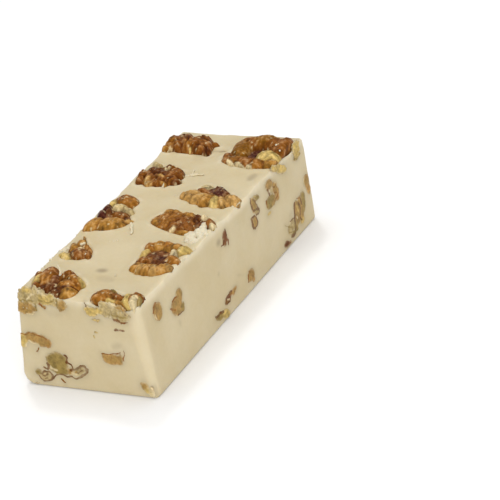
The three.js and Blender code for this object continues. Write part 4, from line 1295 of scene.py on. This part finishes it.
def paint_cut(sheet, cut, u, v, gap):
    """Flesh with bits of skin in it; the fudge veils one part of the rim, and skin edges another."""
    places = flat_places(u, v)
    u, v = unevenly(u, v)
    reach = np.array([ellipse_distance(u, v, spot) for spot in cut.spots])
    weight = np.exp(-SPOT_MELT * (reach - reach.min(axis=0)))
    colours = np.array([linear(spot[5]) for spot in cut.spots])
    tone = (weight.T @ colours) / weight.sum(axis=0)[:, None]
    tone *= (1 + layers(places, CUT_MOTTLE))[:, None]
    for colour, share, size, seed, low, high in CUT_TINTS:
        tone = toned(tone, colour, share * smoothstep(bumps(places, size, seed), low, high))
    side = bumps(places, size=2.6, seed=7)
    edged = RIM_SKIN * smoothstep(gap, -0.6, -0.1) * smoothstep(side, -0.05, 0.35)
    tone = toned(tone, "brown", edged)
    near_rim = smoothstep(gap + 0.3 * bumps(places, size=0.8, seed=38), -1, 0)
    veiled = (0.35 + 0.5 * smoothstep(-side, -0.1, 0.3)) * near_rim
    tone = toned(tone, "fudge", veiled)
    faded = np.clip(0.85 + 0.5 * bumps(places, size=1.2, seed=39), 0.4, 0.95)
    for half_width, colour, points in cut.strands:
        uneven_width = half_width * (1 + 0.5 * bumps(places, size=1.1, seed=8))
        inward = uneven_width - line_distance(points, u, v)
        tone = toned(tone, colour, faded * smoothstep(inward, -0.25, 0.15))
    paint_colour(sheet, "tone", tone)


# Crumbs of fudge
def make_crumbs(name, crumbs):
    """Craggy lumps melted into heaps where they touch."""
    lumps = []
    for number, (x, y, up, size) in enumerate(crumbs):
        bpy.ops.mesh.primitive_ico_sphere_add(
            subdivisions=4, radius=size, location=(x, y, HEIGHT + up), rotation=(0, 0, CRUMB_TURN * number),
        )
        bpy.ops.transform.resize(value=(1, 1, CRUMB_SQUASH))
        lump = join([bpy.context.object], name)
        crags = [(0.35 * size, 1.2 * size, number), (0.06 * size, 0.5 * size, number + 1)]
        push_out(lump, layers(get_points(lump), crags))
        lumps.append(lump)
    heap = join(lumps, name)
    apply_modifier(heap, "REMESH", mode="VOXEL", voxel_size=CRUMB_GRAIN)
    apply_modifier(heap, "SMOOTH", factor=0.5, iterations=5)
    push_out(heap, layers(get_points(heap), HEAP_CRAGS))
    return heap


# The pieces, one after the other
finish_piece(make_block(), "fudge", FUDGE)
finish_piece(make_crumbs("fudge_crumbs", CRUMBS), None, TORN)
finish_piece(make_cut("fudge_flakes", FLAKES, FLAKE_PROUD, THIN_DEPTH), None, FLAKE)
finish_piece(make_cut("fudge_string", STRING, STRING_PROUD, THIN_DEPTH), None, FLAKE)
specks = [make_cut("walnut_speck", cut, SPECK_PROUD, THIN_DEPTH) for cut in SPECKS]
finish_piece(join(specks, "walnut_specks"), None, FLESH)

for name in HALVES:
    half = make_half(name)
    torn = HALF_CUTS.get(name, [])
    flesh = [make_cut(f"{name}_flesh", cut, TORN_PROUD, TORN_DEPTH, TORN_ROUGH) for cut in torn]
    finish_piece(join([half, *flesh], name), name, SKIN)

for name, cut in CUTS.items():
    finish_piece(make_cut(name, cut), name, FLESH)

# Floor, light and camera, in metres
FLOOR_SIZE = 4
FLOOR_GAP = 0.0001
PAPER_SHADES = (0.93, 0.95)
STUDIO_GLOW = 0.5
LIGHTS_AIM = Vector((0, 0, 0.02))
CAMERA_PLACE = (0.34328, -0.53134, 0.34188)
CAMERA_TURN = (62.2026, 8.6146, 25.8200)  # in degrees
LENS = 144
SENSOR_WIDTH = 36

bpy.ops.mesh.primitive_plane_add(size=FLOOR_SIZE, location=(0, 0, -FLOOR_GAP))
floor = bpy.context.object
floor.name = "floor"
paper, paper_tree, paper_shader = new_material("floor")
paper_grain = noise_node(paper_tree, object_places(paper_tree), scale=300, detail=3)
paper_shades = spread(paper_tree, paper_grain, 0, 1, *PAPER_SHADES)
paper_tree.links.new(paper_shades, paper_shader.inputs["Base Color"])
paper_shader.inputs["Roughness"].default_value = 0.9
floor.data.materials.append(paper)

world = bpy.data.worlds.new("studio")
bpy.context.scene.world = world
world.use_nodes = True
world.node_tree.nodes["Background"].inputs["Color"].default_value = (1, 1, 1, 1)
world.node_tree.nodes["Background"].inputs["Strength"].default_value = STUDIO_GLOW


def soft_box(name, place, size, power, mirrored):
    light = bpy.data.lights.new(name, "AREA")
    light.shape = "DISK"
    light.size = size
    light.energy = power
    lamp = bpy.data.objects.new(name, light)
    bpy.context.collection.objects.link(lamp)
    lamp.location = place
    lamp.visible_glossy = mirrored
    lamp.rotation_euler = (LIGHTS_AIM - Vector(place)).to_track_quat("-Z", "Y").to_euler()


soft_box("overhead", (-0.1, 0.1, 0.95), size=1, power=4.6, mirrored=False)
soft_box("fill", (0.82, -1.08, 0.55), size=1.2, power=11.4, mirrored=False)
soft_box("sparkle", (-0.25, 0.35, 0.9), size=0.12, power=1.2, mirrored=True)

camera_data = bpy.data.cameras.new("camera")
camera_data.sensor_fit = "HORIZONTAL"
camera_data.sensor_width = SENSOR_WIDTH
camera_data.lens = LENS
camera = bpy.data.objects.new("camera", camera_data)
bpy.context.collection.objects.link(camera)
camera.location = CAMERA_PLACE
camera.rotation_euler = Euler([math.radians(angle) for angle in CAMERA_TURN], "XYZ")
bpy.context.scene.camera = camera
bpy.context.scene.view_settings.view_transform = "Standard"
